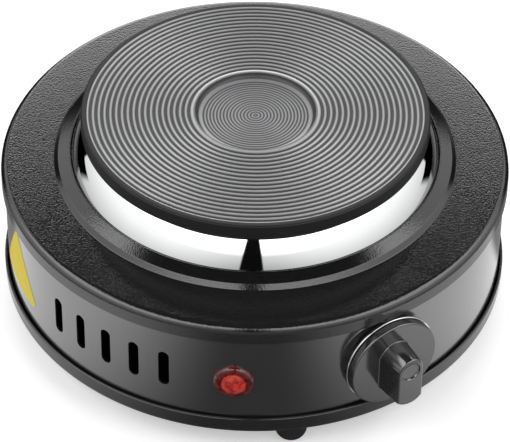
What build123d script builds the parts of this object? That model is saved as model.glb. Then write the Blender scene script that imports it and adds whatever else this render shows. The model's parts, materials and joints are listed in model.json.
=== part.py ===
"""Single hot plate burner, 100 mm ring-grooved plate on a round steel housing.

Millimetres, +Z up. The origin is on the plate's axis at the surface the feet stand on, and the
front of the housing, with the pilot lamp, faces -Y. An azimuth is measured round the axis from
the front, positive towards +X. What sits on the side wall is drawn about its own station axis,
where x runs to the right along the wall, y upwards, and z outwards from the housing's axis.
"""

from math import atan2, cos, hypot, pi, radians, sin, sqrt, tan
import os

from build123d import *

# ---- sheet metal of the housing -------------------------------------------------------------
bend_chords = 1  # straight chords that stand for a bend or a moulded round
sheet = 0.8  # cover, side wall and base pan
wall_radius = 72.5  # outside of the side wall
wall_height = 36.45
cover_skirt_gap = 0.1  # between the wall and the cover's skirt
pan_lip_gap = 0.4  # between the wall and the pan's lip
contact_gap = 0.05  # between sheets that are welded or clamped on a curve
cut_past = 1.0  # how far a cutting tool reaches past the faces that it cuts

foot_height = 8.3
pan_lip_height = 5.8  # outside height of the pan
pan_bend = 2.2  # outside bend of the pan's lip

rim_bend = 2.1  # outside bend of the cover's rim
skirt_height = 5.7
opening_radius = 53.3  # the cover's opening round the plate
band_width = 3.65  # sloping band round the opening
band_rise = 1.6
step_width = 1.15
step_rise = 1.45

# ---- heating plate --------------------------------------------------------------------------
plate_radius = 50.0
plate_rim = 4.4  # thickness at the edge
plate_thickness = 6.0  # from the ridges down to the ceiling of the element's chamber
plate_chamfer = 0.5
groove_start = 18.3  # radius where the first groove begins
groove_count = 18
groove_pitch = 1.655
groove_depth = 0.45
recess_radius = 17.3
recess_depth = 1.8
chamber_radius = 40.5  # the element's chamber in the plate's underside
chamber_wall = 3.0
chamber_depth = 5.0
boss_radius = 7.0
boss_height = 2.6

# ---- element stack under the plate ----------------------------------------------------------
mica_thickness = 0.5
ribbon_thickness = 0.3
ribbon_width = 2.0
ribbon_runs = 16  # radial runs of the resistance ribbon
ribbon_inner_radius = 14.0
pad_thickness = 2.0
pressure_plate_thickness = 1.0
disc_sides = 12  # the element's sheets are cut with straight sides
disc_gap = 0.5  # round the discs, inside the chamber and round the boss

# ---- stud, bridge and shield ----------------------------------------------------------------
stud_radius = 3.0
stud_hole_gap = 0.3
stud_tail = 1.5  # stands out under the nut
stud_depth = 3.6  # screwed into the plate above the chamber's ceiling
thin_nut_height = 3.0
nut_height = 5.0
nut_across_flats = 10.0
washer_size = 12.0
washer_thickness = 1.0
spacer_length = 8.7
shield_size = 76.0
shield_sheet = 0.5
shield_rim = 3.5
shield_window = 3.0  # round the element's terminal block
bridge_drop = 5.45  # from the cover's underside down to the bridge's bar
bridge_sheet = 1.5
bridge_width = 18.0
bridge_leg_radius = 58.8
bridge_reach = 68.0

# ---- reflecting collar ----------------------------------------------------------------------
collar_sheet = 0.5
collar_top_radius = 46.0
collar_top_gap = 0.3  # under the plate's rim
collar_edge_gap = 0.35  # inside the cover's opening
collar_flange = 3.1
collar_bulge = 22.0  # radius of its rounded face
collar_chords = 2

# ---- openings in the side wall --------------------------------------------------------------
slot_count = 5
slot_middle_azimuth = -34.4
slot_pitch = 7.3  # degrees
slot_width = 3.2
slot_length = 12.4
slot_height = 28.5  # of the slots' middle above the ground

# ---- rear panel, welded behind the gap between the ends of the side wall ------------------------
rear_azimuth = 180.0
rear_gap_angle = 44.0  # degrees of the wall left open
rear_lap_angle = 5.0  # degrees that the panel laps each end of the wall

# ---- feet, brackets and screws ----------------------------------------------------------------
foot_count = 4
foot_azimuth = 9.7  # of the first foot
foot_orbit = 66.0
foot_radius = 4.6
foot_dome = 3.4  # rounding of its tip
foot_chords = 2
foot_stem_radius = 2.0
foot_stem_length = 3.0  # above the pan's floor
foot_hole_gap = 0.1
bracket_sheet = 1.2
bracket_angle = 8.0  # degrees of the circumference
bracket_reach = 10.0
bracket_height = 10.0
bracket_offset = 45.0  # degrees from each foot to its bracket
screw_radius = 1.5
screw_length = 6.0
screw_across_flats = 5.0
screw_head_height = 1.6
screw_gap = 0.1
screw_inset = 5.6  # from the wall's inside to the screw

# ---- knob, bezel and thermostat ---------------------------------------------------------------
knob_azimuth = 31.0
knob_height = 28.9
bezel_radius = 14.0
bezel_hole = 7.3
bezel_stand = 1.5  # in front of the wall
bezel_bead = 1.4  # width of the raised rim
bezel_dish = 0.6
bezel_depth = 2.4  # behind the foremost line of the wall, before it is cut to the curve
knob_gap = 0.3  # between the bezel and the knob's skirt
knob_radius = 13.7
knob_skirt = 2.2
knob_chamfer = 0.5
grip_length = 16.6
grip_width = 9.7  # at its root
grip_shift = 0.3  # the grip's middle lies below the axis
grip_height = 8.4
grip_taper = 6.1  # degrees by which each side leans in
grip_arch = 1.7  # rise of the arched lower end
grip_edge = 0.6
dimple_radius = 2.9
dimple_depth = 0.5
dimple_rise = 3.6  # of the dimple above the axis
spindle_radius = 3.0
spindle_flat = 0.8
spindle_fit = 0.05
spindle_in_knob = 6.0  # depth of the knob's bore in front of its skirt
spindle_end_gap = 0.5
bush_neck_radius = 4.0
bush_collar_across_flats = 11.0
bush_nut_height = 2.2
bush_nut_across_flats = 11.0
nut_recess_gap = 0.5
thermostat_depth = 4.2  # from the wall's inside to the bracket
thermostat_sheet = 1.2
thermostat_height = 18.0
thermostat_left = 9.0  # of the bracket's left end from the spindle
stop_disc_radius = 5.0
stop_disc_thickness = 1.2
stop_tab_reach = 8.2
stop_tab_root = 1.0  # how far the tab reaches into its disc
stop_tab_angle = 16.0
stop_clear_angle = 3.0  # between tab and ear at either end of the knob's travel
stop_ear_inner = 7.2
stop_ear_outer = 8.8
stop_ear_azimuth = 180.0  # the ear stands to the left of the spindle
stop_side_gap = 0.4
knob_travel = 300.0  # degrees
tip_radius = 1.4
tip_gap = 0.3  # between the insulating tip and the adjusting leaf
stack_offset = 15.0  # from the spindle to the stack's rivet
spool_size = 10.0
spool_heights = (4.0, 2.5, 3.0)
leaf_thickness = 0.4
leaf_width = 6.4
leaf_tail = 12.0
leaf_reach = 24.0
bimetal_thickness = 1.0
bimetal_width = 8.0
bimetal_reach = 21.0
rivet_radius = 1.6
rivet_head_radius = 3.2
rivet_head_height = 1.0
rivet_gap = 0.1
contact_radius = 1.8
contact_height = 0.9
contact_inset = 2.4
bead_radius = 1.4
bead_gap = 0.3
bead_offset = 3.0

# ---- pilot lamp -------------------------------------------------------------------------------
lamp_azimuth = -4.0
lamp_height = 28.0
lamp_rim_radius = 5.7
lamp_rim_stand = 1.5
lamp_rim_chamfer = 0.75
lamp_dome_radius = 3.6
lamp_dome_stand = 1.2
lamp_facet_drop = 0.3  # from the dome's middle to its ring of facets
lamp_dome_wall = 2.7  # thickness of the lens under its dome's edge
lamp_neck_radius = 4.5
lamp_bore_gap = 0.1
lamp_neck_length = 7.0
lamp_lens_wall = 0.9
lamp_body_length = 13.0
neon_radius = 1.7
neon_gap = 0.3
neon_seat = 6.5  # how deep the neon tube stands in its body
neon_reach = 3.5  # how far it stands out of it, into the lens
clip_size = 13.5
clip_thickness = 0.5

# ---- cord gland and terminals -----------------------------------------------------------------
gland_height = 28.0
gland_flange_radius = 7.0
gland_flange_stand = 2.0
gland_flange_chamfer = 1.0
gland_root = 0.5  # behind the foremost line of the panel, before it is cut to the curve
gland_neck_radius = 5.0
gland_bore_radius = 3.4
gland_length = 13.0
gland_hole_gap = 0.1
gland_nut_across_flats = 13.0
gland_nut_height = 4.0
block_length = 24.0
block_depth = 14.0
block_height = 11.0
block_front = 36.0
block_ways = 3
block_way_size = 3.6
block_way_rise = 3.7  # of the ways above the block's foot
block_web = 3.5  # left of the block in front of and behind its screw wells
block_well_floor = 5.5  # of the screw wells above the block's foot
element_block = (16.0, 9.0, 7.0)
element_block_azimuth = 200.0
element_block_orbit = 26.0
pin_size = (1.0, 3.0, 10.0)
pin_spacing = 7.0
pin_clearance = 0.2  # round the pins in the pad
pin_plate_clearance = 0.6  # round the pins in the pressure plate

# ---- internal leads ---------------------------------------------------------------------------
lead_radius = 0.8
lead_sides = 6  # flat sides that stand for its round section
lead_bend = 4.0
lead_gap = 0.1  # between leads that share a way of the terminal block
lead_grip = 3.0  # length of a lead's end inside its way
lead_turn = 4.6  # in front of the terminal block, to where the leads turn into their ways
lead_ramp = 4.0  # length over which a lead climbs from the floor into its way
lead_level = 37.0  # height of the leads that cross under the heat shield
lead_tail = 25.4  # from the spindle's axis to the leads on the leaves' tails
lead_tail_end = 2.0  # how far past the spindle's height the leads on the tails end
lamp_lead_spread = 1.8  # from the lamp's axis to each of its leads
lamp_lead_reach = 6.5  # behind the lamp's body, to where its leads turn down
live_lead_turn = 30.0  # right of the axis, where the live lead leaves the terminal block's line
live_lead_side = 40.0  # right of the axis, where it lies on the floor beside the block
live_lead_front_side = 44.0  # right of the axis, where it lies on the floor near the leaves
live_lead_front = 20.0  # in front of the axis, at that place
live_lead_rise = 16.5  # height at which it reaches the leaf's tail
heater_lead_side = 32.0  # right of the axis, where the heater lead turns to the element
side_leads_back = 18.0  # behind the axis, where the side leads turn forward
earth_lead_side = 22.0  # right of the axis, where the earth lead turns to its bracket
earth_lead_back = 55.0  # behind the axis, at that place

# ---- heights and radii that follow ------------------------------------------------------------
pan_floor = foot_height + sheet
pan_radius = wall_radius + pan_lip_gap + sheet
wall_inside = wall_radius - sheet
pan_bend_inside = pan_bend - sheet
wall_foot = pan_floor + pan_bend_inside - pan_lip_gap + contact_gap  # clear of the pan's bend
wall_top = wall_foot + wall_height
panel_face = wall_inside - contact_gap
panel_inside = panel_face - sheet
rim_bend_inside = rim_bend - sheet
cover_underside = wall_top + rim_bend_inside + contact_gap
cover_top = cover_underside + sheet
cover_radius = wall_radius + cover_skirt_gap + sheet
skirt_foot = cover_top - skirt_height
band_outer = opening_radius + band_width
step_outer = band_outer + step_width
band_foot = cover_top + step_rise
opening_height = band_foot + band_rise

bar_top = cover_underside - bridge_drop
shield_top = bar_top + shield_sheet
spacer_top = shield_top + spacer_length
pressure_underside = spacer_top + thin_nut_height
pad_underside = pressure_underside + pressure_plate_thickness
lower_mica_underside = pad_underside + pad_thickness
ribbon_underside = lower_mica_underside + mica_thickness
upper_mica_underside = ribbon_underside + ribbon_thickness
chamber_ceiling = upper_mica_underside + mica_thickness
plate_top = chamber_ceiling + plate_thickness
rim_underside = plate_top - plate_rim
disc_radius = chamber_radius - disc_gap
disc_hole = boss_radius + disc_gap

wall_face = wall_radius  # distance of the wall's outside from the housing's axis at a station
bezel_face = wall_face + bezel_stand
skirt_back = bezel_face + knob_gap
skirt_face = skirt_back + knob_skirt
grip_face = skirt_face + grip_height
bush_nut_face = wall_face + bush_nut_height
thermostat_face = wall_inside - thermostat_depth
thermostat_back = thermostat_face - thermostat_sheet
stop_disc_face = thermostat_back - stop_side_gap
tip_face = stop_disc_face - stop_disc_thickness
adjusting_leaf_face = thermostat_back - spool_heights[0]
switch_leaf_face = adjusting_leaf_face - leaf_thickness - spool_heights[1]
bimetal_face = switch_leaf_face - leaf_thickness - spool_heights[2]
stack_back = bimetal_face - bimetal_thickness
tip_length = tip_face - adjusting_leaf_face - tip_gap
bore_end = skirt_face + spindle_in_knob
stop_ear_angle = 360.0 - knob_travel - stop_tab_angle - 2 * stop_clear_angle
stop_tab_azimuth = stop_ear_azimuth - stop_ear_angle / 2 - stop_clear_angle - stop_tab_angle / 2
lamp_face = wall_face + lamp_rim_stand
lens_back = wall_face - lamp_neck_length
screw_orbit = wall_inside - screw_inset
washer_underside = bar_top - bridge_sheet - washer_thickness
nut_underside = washer_underside - nut_height
gland_back = wall_face - gland_length
floor_lead_height = pan_floor + contact_gap + lead_radius
lower_lead_height = pan_floor + block_way_rise + contact_gap + lead_radius
upper_lead_height = lower_lead_height + 2 * lead_radius + lead_gap
tail_side = leaf_thickness + contact_gap + lead_radius  # from a leaf's face to the lead behind it


# ---- drawing helpers --------------------------------------------------------------------------
def arc_points(start, end, centre, chords):
    """Points that divide the shorter arc from start to end about a centre into chords."""
    middle = Vector(*centre)
    first, last = Vector(*start) - middle, Vector(*end) - middle
    sweep = radians(first.get_angle(last))
    points = []
    for number in range(chords + 1):
        share = number / chords
        spoke = first * sin((1 - share) * sweep) + last * sin(share * sweep)
        place = middle + spoke * (1 / sin(sweep))
        points.append((place.X, place.Y))
    return points


def rounded(before, corner, after, chords):
    """Chord points of the arc that rounds a corner to the radius given as its third value."""
    apex = Vector(*corner[:2])
    towards = (Vector(*before[:2]) - apex).normalized()
    onwards = (Vector(*after[:2]) - apex).normalized()
    half = radians(towards.get_angle(onwards)) / 2
    reach = corner[2] / tan(half)
    centre = apex + (towards + onwards).normalized() * (corner[2] / sin(half))
    start, end = apex + towards * reach, apex + onwards * reach
    return arc_points((start.X, start.Y), (end.X, end.Y), (centre.X, centre.Y), chords)


def outline(*corners, chords=bend_chords):
    """A closed face from (x, y) corners. One with a third value is rounded to that radius."""
    points = []
    for number, corner in enumerate(corners):
        if corner[2:]:
            after = corners[(number + 1) % len(corners)]
            points += rounded(corners[number - 1], corner, after, chords)
        else:
            points.append(corner)
    return make_face(Polyline(*points, close=True))


def turned(*corners, arc=360.0, chords=bend_chords):
    """A solid of revolution about Z from an outline whose corners are (radius, height)."""
    return revolve(Plane.XZ * outline(*corners, chords=chords), Axis.Z, arc)


def ring(inner, outer, low, high):
    """A flat ring, or a disc where the inner radius is 0."""
    return turned((inner, low), (outer, low), (outer, high), (inner, high))


def drill(radius, low, high):
    """Cutter for a round hole about Z through what lies between two heights."""
    return ring(0, radius, low - cut_past, high + cut_past)


def prism(inscribed, sides, low, high):
    """A regular prism about Z, drawn round a circle of the inscribed radius."""
    shape = RegularPolygon(inscribed, sides, major_radius=False)
    return Pos(0, 0, low) * extrude(shape, high - low)


def hexagon(across_flats, low, high):
    """A hexagonal prism about Z."""
    return prism(across_flats / 2, 6, low, high)


def corner_radius(across_flats):
    """Distance from a hexagon's middle to its corners."""
    return across_flats / 2 / cos(pi / 6)


def seat_inside(reach, radius=wall_inside):
    """How far out a flat piece of this half-width goes before it meets a curved wall's inside."""
    return sqrt(radius**2 - reach**2) - contact_gap


def block(x_range, y_range, z_range):
    """A box between the given limits."""
    corner = [limits[0] for limits in (x_range, y_range, z_range)]
    size = [limits[1] - limits[0] for limits in (x_range, y_range, z_range)]
    low = (Align.MIN, Align.MIN, Align.MIN)
    return Pos(*corner) * Box(*size, align=low)


def turn(azimuth):
    """Turns what is drawn at the front round to an azimuth."""
    return Rot(0, 0, azimuth)


def station(azimuth, height):
    """The local frame of what sits on the side wall: z outwards, y upwards, x to the right."""
    right = (cos(radians(azimuth)), sin(radians(azimuth)), 0)
    outwards = (sin(radians(azimuth)), -cos(radians(azimuth)), 0)
    return Plane(origin=(0, 0, height), x_dir=right, z_dir=outwards).location


def at_front(radius, height):
    """A place on the front radius of the housing."""
    return Pos(0, -radius, height)


def wall_column(height, radius):
    """The housing's own cylinder as seen from a station at the given height."""
    return Pos(0, -height, 0) * Rot(90, 0, 0) * Cylinder(radius, 4 * wall_radius)


# ---- housing ----------------------------------------------------------------------------------
def make_top_cover():
    """Pressed cover: skirt, rolled rim, flat ring, step and sloping band round the opening."""
    slope = band_rise / band_width
    band_drop = sheet * hypot(1, slope)  # vertical thickness of the sloping band
    step_shift = sheet * tan(atan2(step_rise, step_width) / 2)
    return turned(
        (opening_radius, opening_height - band_drop),
        (opening_radius, opening_height),
        (band_outer, band_foot),
        (step_outer, cover_top),
        (cover_radius, cover_top, rim_bend),
        (cover_radius, skirt_foot),
        (cover_radius - sheet, skirt_foot),
        (cover_radius - sheet, cover_underside, rim_bend_inside),
        (step_outer - step_shift, cover_underside),
        (band_outer - step_shift, band_foot - band_drop + slope * step_shift),
    )


def vent_slot():
    """Cutter for one upright vent slot, at the front of the wall."""
    shape = Pos(0, slot_height) * SlotOverall(slot_length, slot_width, rotation=90)
    return Pos(0, -wall_inside + cut_past, 0) * extrude(Plane.XZ * shape, sheet + 2 * cut_past)


def curved_strip(inner, outer, middle_azimuth, angle):
    """A strip of the housing's wall, as high as the wall, about a middle azimuth."""
    profile = ((inner, wall_foot), (outer, wall_foot), (outer, wall_top), (inner, wall_top))
    return Rot(0, 0, middle_azimuth - 90 - angle / 2) * turned(*profile, arc=angle)


def make_side_wall():
    """Rolled steel band, open at the rear, with its vent slots and holes for lamp and bush."""
    wall = curved_strip(wall_inside, wall_radius, rear_azimuth + 180, 360 - rear_gap_angle)
    for number in range(slot_count):
        azimuth = slot_middle_azimuth + slot_pitch * (number - (slot_count - 1) / 2)
        wall -= turn(azimuth) * vent_slot()
    holes = (
        (lamp_azimuth, lamp_height, lamp_neck_radius + lamp_bore_gap),
        (knob_azimuth, knob_height, bush_neck_radius + contact_gap),
    )
    for azimuth, height, radius in holes:
        wall -= station(azimuth, height) * drill(radius, wall_inside, wall_radius)
    return wall


def make_rear_panel():
    """Curved panel behind the gap in the wall, with the hole for the cord gland."""
    panel = curved_strip(panel_inside, panel_face, rear_azimuth, rear_gap_angle + 2 * rear_lap_angle)
    hole = drill(gland_neck_radius + gland_hole_gap, panel_inside, panel_face)
    return panel - station(rear_azimuth, gland_height) * hole


def around_feet(offset=0.0):
    """The azimuths of the feet, or of what lies a fixed angle past each foot."""
    return [foot_azimuth + offset + 360 * number / foot_count for number in range(foot_count)]


def make_base_pan():
    """Shallow pressed pan with its lip, foot holes and screw holes."""
    pan = turned(
        (0, foot_height),
        (pan_radius, foot_height, pan_bend),
        (pan_radius, foot_height + pan_lip_height),
        (pan_radius - sheet, foot_height + pan_lip_height),
        (pan_radius - sheet, pan_floor, pan_bend_inside),
        (0, pan_floor),
    )
    foot_hole = at_front(foot_orbit, 0) * drill(foot_stem_radius + foot_hole_gap, foot_height, pan_floor)
    screw_hole = at_front(screw_orbit, 0) * drill(screw_radius + screw_gap, foot_height, pan_floor)
    for azimuth in around_feet():
        pan -= turn(azimuth) * foot_hole
    for azimuth in around_feet(bracket_offset):
        pan -= turn(azimuth) * screw_hole
    return pan


def make_feet():
    """Domed rubber feet, each held by a stem pushed through the pan."""
    stem_top = pan_floor + foot_stem_length
    foot = turned(
        (0, 0),
        (foot_radius, 0, foot_dome),
        (foot_radius, foot_height),
        (foot_stem_radius, foot_height),
        (foot_stem_radius, stem_top),
        (0, stem_top),
        chords=foot_chords,
    )
    return [turn(azimuth) * at_front(foot_orbit, 0) * foot for azimuth in around_feet()]


def make_base_brackets():
    """Angle brackets welded inside the wall, tapped for the base screws."""
    floor_tip = wall_inside - bracket_reach
    profile = (
        (floor_tip, pan_floor),
        (wall_radius - pan_lip_gap - sheet, pan_floor),
        (wall_inside, pan_floor + sheet),
        (wall_inside, pan_floor + bracket_height),
        (wall_inside - bracket_sheet, pan_floor + bracket_height),
        (wall_inside - bracket_sheet, pan_floor + bracket_sheet),
        (floor_tip, pan_floor + bracket_sheet),
    )
    angle = Rot(0, 0, -90 - bracket_angle / 2) * turned(*profile, arc=bracket_angle)
    hole = drill(screw_radius + contact_gap, pan_floor, pan_floor + bracket_sheet)
    angle -= at_front(screw_orbit, 0) * hole
    return [turn(azimuth) * angle for azimuth in around_feet(bracket_offset)]


def make_base_screws():
    """Hexagon-head screws through the pan into the brackets."""
    screw = ring(0, screw_radius, foot_height, foot_height + screw_length)
    screw += hexagon(screw_across_flats, foot_height - screw_head_height, foot_height)
    return [turn(azimuth) * at_front(screw_orbit, 0) * screw for azimuth in around_feet(bracket_offset)]


def make_cover_brackets():
    """Angle brackets welded between the wall and the cover's underside."""
    inner = wall_inside - bracket_reach
    profile = (
        (inner, cover_underside - bracket_sheet),
        (wall_inside - bracket_sheet, cover_underside - bracket_sheet),
        (wall_inside - bracket_sheet, cover_underside - bracket_height),
        (wall_inside, cover_underside - bracket_height),
        (wall_inside, wall_top - sheet),
        (wall_inside - sheet, cover_underside),
        (inner, cover_underside),
    )
    angle = Rot(0, 0, -90 - bracket_angle / 2) * turned(*profile, arc=bracket_angle)
    return [turn(azimuth) * angle for azimuth in around_feet(bracket_offset)]


# ---- plate and element ------------------------------------------------------------------------
def ridge_profile():
    """The plate's top from its recess out to its edge: V-grooves side by side."""
    points = [(recess_radius, plate_top - recess_depth), (recess_radius, plate_top)]
    for number in range(groove_count):
        ridge = groove_start + number * groove_pitch
        points.append((ridge, plate_top))
        points.append((ridge + groove_pitch / 2, plate_top - groove_depth))
    points.append((groove_start + groove_count * groove_pitch, plate_top))
    return points


def make_heating_plate():
    """Cast plate: grooved top, recessed middle, rim, and the element's chamber underneath."""
    chamber_outer = chamber_radius + chamber_wall
    wall_end = chamber_ceiling - chamber_depth
    plate = turned(
        (0, plate_top - recess_depth),
        *ridge_profile(),
        (plate_radius - plate_chamfer, plate_top),
        (plate_radius, plate_top - plate_chamfer),
        (plate_radius, rim_underside),
        (chamber_outer, rim_underside),
        (chamber_outer, wall_end),
        (chamber_radius, wall_end),
        (chamber_radius, chamber_ceiling),
        (boss_radius, chamber_ceiling),
        (boss_radius, chamber_ceiling - boss_height),
        (stud_radius, chamber_ceiling - boss_height),
        (stud_radius, chamber_ceiling + stud_depth),
        (0, chamber_ceiling + stud_depth),
    )
    return plate


def element_sheet(low, high):
    """A sheet of the element stack, cut with straight sides to fit the round chamber."""
    inscribed = disc_radius * cos(pi / disc_sides)
    sheet_body = prism(inscribed, disc_sides, low, high)
    return sheet_body - prism(disc_hole, disc_sides, low - cut_past, high + cut_past)


def make_mica(underside):
    """One mica sheet of the element."""
    return element_sheet(underside, underside + mica_thickness)


def make_resistance_ribbon():
    """Flat resistance ribbon in radial runs, joined by turns at its inner and outer ends."""
    step = 360 / (ribbon_runs + 1)
    outer = disc_radius * cos(pi / disc_sides) - ribbon_width
    points = []
    for number in range(ribbon_runs):
        angle = element_block_azimuth - 90 + step * (number + 1)
        radii = (ribbon_inner_radius, outer) if number % 2 else (outer, ribbon_inner_radius)
        points += [(radius * cos(radians(angle)), radius * sin(radians(angle))) for radius in radii]
    path = Polyline(*points)
    return Pos(0, 0, ribbon_underside) * extrude(trace(path, ribbon_width), ribbon_thickness)


def element_place():
    """Where the element's terminal block hangs under the pressure plate."""
    return turn(element_block_azimuth) * at_front(element_block_orbit, pressure_underside)


def pin_slots(clearance):
    """The two flat terminal pins, or the slots for them with a clearance all round."""
    width, depth, length = pin_size
    pins = []
    for side in (-1, 1):
        pin = block(
            (side * pin_spacing / 2 - depth / 2 - clearance, side * pin_spacing / 2 + depth / 2 + clearance),
            (-width / 2 - clearance, width / 2 + clearance),
            (-length - clearance, lower_mica_underside - pressure_underside + clearance),
        )
        pins.append(element_place() * pin)
    return pins


def make_insulating_pad():
    """Mineral fibre pad that presses the element against the plate."""
    pad = element_sheet(pad_underside, lower_mica_underside)
    for slot in pin_slots(pin_clearance):
        pad -= slot
    return pad


def make_pressure_plate():
    """Steel disc pulled up by the thin nut, closing the chamber."""
    disc = ring(stud_radius + stud_hole_gap, disc_radius, pressure_underside, pad_underside)
    for slot in pin_slots(pin_plate_clearance):
        disc -= slot
    return disc


def make_element_block():
    """Steatite block that carries the element's two terminal pins."""
    length, depth, height = element_block
    body = element_place() * block((-length / 2, length / 2), (-depth / 2, depth / 2), (-height, 0))
    for slot in pin_slots(contact_gap):
        body -= slot
    return body


# ---- stud, bridge, shield and collar ----------------------------------------------------------
def make_centre_stud():
    """Stud from the plate's boss down through the shield and the bridge."""
    foot = nut_underside - stud_tail
    return ring(0, stud_radius - contact_gap, foot, chamber_ceiling + stud_depth)


def make_nut(underside, height):
    """Hexagonal nut on the stud."""
    return hexagon(nut_across_flats, underside, underside + height) - ring(0, stud_radius, 0, plate_top)


def make_stud_spacer():
    """Hexagonal spacer between the thin nut and the shield."""
    spacer = hexagon(nut_across_flats, shield_top, spacer_top)
    return spacer - ring(0, stud_radius + stud_hole_gap, 0, plate_top)


def make_washer():
    """Square washer under the bridge."""
    half = washer_size / 2
    washer = block((-half, half), (-half, half), (washer_underside, bar_top - bridge_sheet))
    return washer - ring(0, stud_radius + stud_hole_gap, 0, plate_top)


def make_heat_shield():
    """Folded tray between the element and the wiring, with a window under the terminal block."""
    half = shield_size / 2
    inner = half - shield_sheet
    tray = block((-half, half), (-half, half), (bar_top, bar_top + shield_rim))
    tray -= block((-inner, inner), (-inner, inner), (shield_top, plate_top))
    tray -= ring(0, stud_radius + stud_hole_gap, 0, plate_top)
    reach = (element_block[0] / 2 + shield_window, element_block[1] / 2 + shield_window)
    window = block((-reach[0], reach[0]), (-reach[1], reach[1]), (bar_top - pressure_underside - cut_past, 0))
    return tray - element_place() * window


def make_support_bridge():
    """Cranked bar under the cover's opening, welded to the cover at its two ends."""
    leg_inner = bridge_leg_radius - bridge_sheet
    half = (
        (0, bar_top),
        (leg_inner, bar_top),
        (leg_inner, cover_underside),
        (bridge_reach, cover_underside),
        (bridge_reach, cover_underside - bridge_sheet),
        (bridge_leg_radius, cover_underside - bridge_sheet),
        (bridge_leg_radius, bar_top - bridge_sheet),
        (0, bar_top - bridge_sheet),
    )
    side = extrude(Plane.XZ * outline(*half), bridge_width / 2, both=True)
    bar = side + mirror(side, Plane.YZ)
    return bar - ring(0, stud_radius + stud_hole_gap, 0, plate_top)


def make_reflector_collar():
    """Polished collar: a flange under the cover's band and a rounded face up to the plate's rim."""
    slope = band_rise / band_width
    tilt = hypot(1, slope)
    band_under = opening_height - (sheet + contact_gap) * tilt

    def flange_top(radius):
        return band_under - slope * (radius - opening_radius)

    foot = (opening_radius - collar_edge_gap, flange_top(opening_radius - collar_edge_gap))
    top = (collar_top_radius, rim_underside - collar_top_gap)
    chord = hypot(foot[0] - top[0], top[1] - foot[1])
    sagitta_side = sqrt(collar_bulge**2 - (chord / 2) ** 2)
    middle = ((foot[0] + top[0]) / 2, (foot[1] + top[1]) / 2)
    away = ((foot[1] - top[1]) / chord, (top[0] - foot[0]) / chord)
    centre = (middle[0] + away[0] * sagitta_side, middle[1] + away[1] * sagitta_side)

    def inside(point):
        scale = (collar_bulge - collar_sheet) / collar_bulge
        return tuple(c + (p - c) * scale for c, p in zip(centre, point))

    flange_end = opening_radius + collar_flange
    drop = collar_sheet * tilt
    inner_foot = inside(foot)
    return turned(
        *arc_points(foot, top, centre, collar_chords),
        inside(top),
        inner_foot,
        (inner_foot[0], flange_top(inner_foot[0]) - drop),
        (flange_end, flange_top(flange_end) - drop),
        (flange_end, flange_top(flange_end)),
    )


# ---- knob, bezel and thermostat ---------------------------------------------------------------
knob_station = station(knob_azimuth, knob_height)


def make_knob_bezel():
    """Bright ring behind the knob, its back shaped to the wall."""
    dish_floor = bezel_face - bezel_dish
    body = turned(
        (bezel_hole, wall_face - bezel_depth),
        (bezel_radius, wall_face - bezel_depth),
        (bezel_radius, bezel_face, bezel_bead / 2),
        (bezel_radius - bezel_bead, bezel_face),
        (bezel_radius - 2 * bezel_bead, dish_floor),
        (bezel_hole, dish_floor),
    )
    return knob_station * (body - wall_column(knob_height, wall_radius))


def flatted_bar(radius, low, high):
    """A round bar with the spindle's flat on its upper side."""
    bar = ring(0, radius, low, high)
    above = spindle_radius - spindle_flat + (radius - spindle_radius)
    return bar - block((-radius, radius), (above, 2 * radius), (low - cut_past, high + cut_past))


def grip_outline(height):
    """The grip's outline at a height: straight sides, round upper end and arched lower end."""
    half = grip_width / 2 + (skirt_face - height) * tan(radians(grip_taper))
    top = grip_length / 2 - grip_shift
    foot = -grip_length / 2 - grip_shift
    shoulder = top - half
    corner = foot + grip_arch
    edges = Line((-half, corner), (-half, shoulder))
    edges += ThreePointArc((-half, shoulder), (0, top), (half, shoulder))
    edges += Line((half, shoulder), (half, corner))
    edges += ThreePointArc((half, corner), (0, foot), (-half, corner))
    return Pos(0, 0, height) * make_face(edges)


def make_knob():
    """Thermostat knob: skirt disc, tapered grip with its dimple, bore and nut recess."""
    skirt = turned(
        (0, skirt_back),
        (knob_radius, skirt_back),
        (knob_radius, skirt_face - knob_chamfer),
        (knob_radius - knob_chamfer, skirt_face),
        (0, skirt_face),
    )
    grip = loft([grip_outline(skirt_face - knob_skirt / 2), grip_outline(grip_face)], ruled=True)
    grip = chamfer(grip.faces().sort_by(Axis.Z)[-1].edges(), grip_edge)
    body = skirt + grip
    body -= Pos(0, dimple_rise, 0) * ring(0, dimple_radius, grip_face - dimple_depth, grip_face + cut_past)
    body -= flatted_bar(spindle_radius + spindle_fit, skirt_back - cut_past, bore_end)
    recess = bush_nut_face + nut_recess_gap
    corner = corner_radius(bush_nut_across_flats)
    body -= ring(0, corner + nut_recess_gap, skirt_back - cut_past, recess)
    return knob_station * body


def make_adjusting_spindle():
    """Flatted steel spindle with its stop disc and tab, and a seat for the insulating tip."""
    shaft = ring(0, spindle_radius, stop_disc_face, wall_face + bush_nut_height)
    shaft += flatted_bar(spindle_radius, wall_face + bush_nut_height, bore_end - spindle_end_gap)
    disc = ring(0, stop_disc_radius, tip_face, stop_disc_face)
    half = stop_tab_angle / 2
    tab = Rot(0, 0, -half) * turned(
        (stop_disc_radius - stop_tab_root, tip_face),
        (stop_tab_reach, tip_face),
        (stop_tab_reach, stop_disc_face),
        (stop_disc_radius - stop_tab_root, stop_disc_face),
        arc=stop_tab_angle,
    )
    return knob_station * (shaft + disc + Rot(0, 0, stop_tab_azimuth) * tab)


def make_spindle_tip():
    """Insulating pin pressed into the spindle's inner end, bearing on the adjusting leaf."""
    return knob_station * ring(0, tip_radius, tip_face - tip_length, tip_face)


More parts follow.
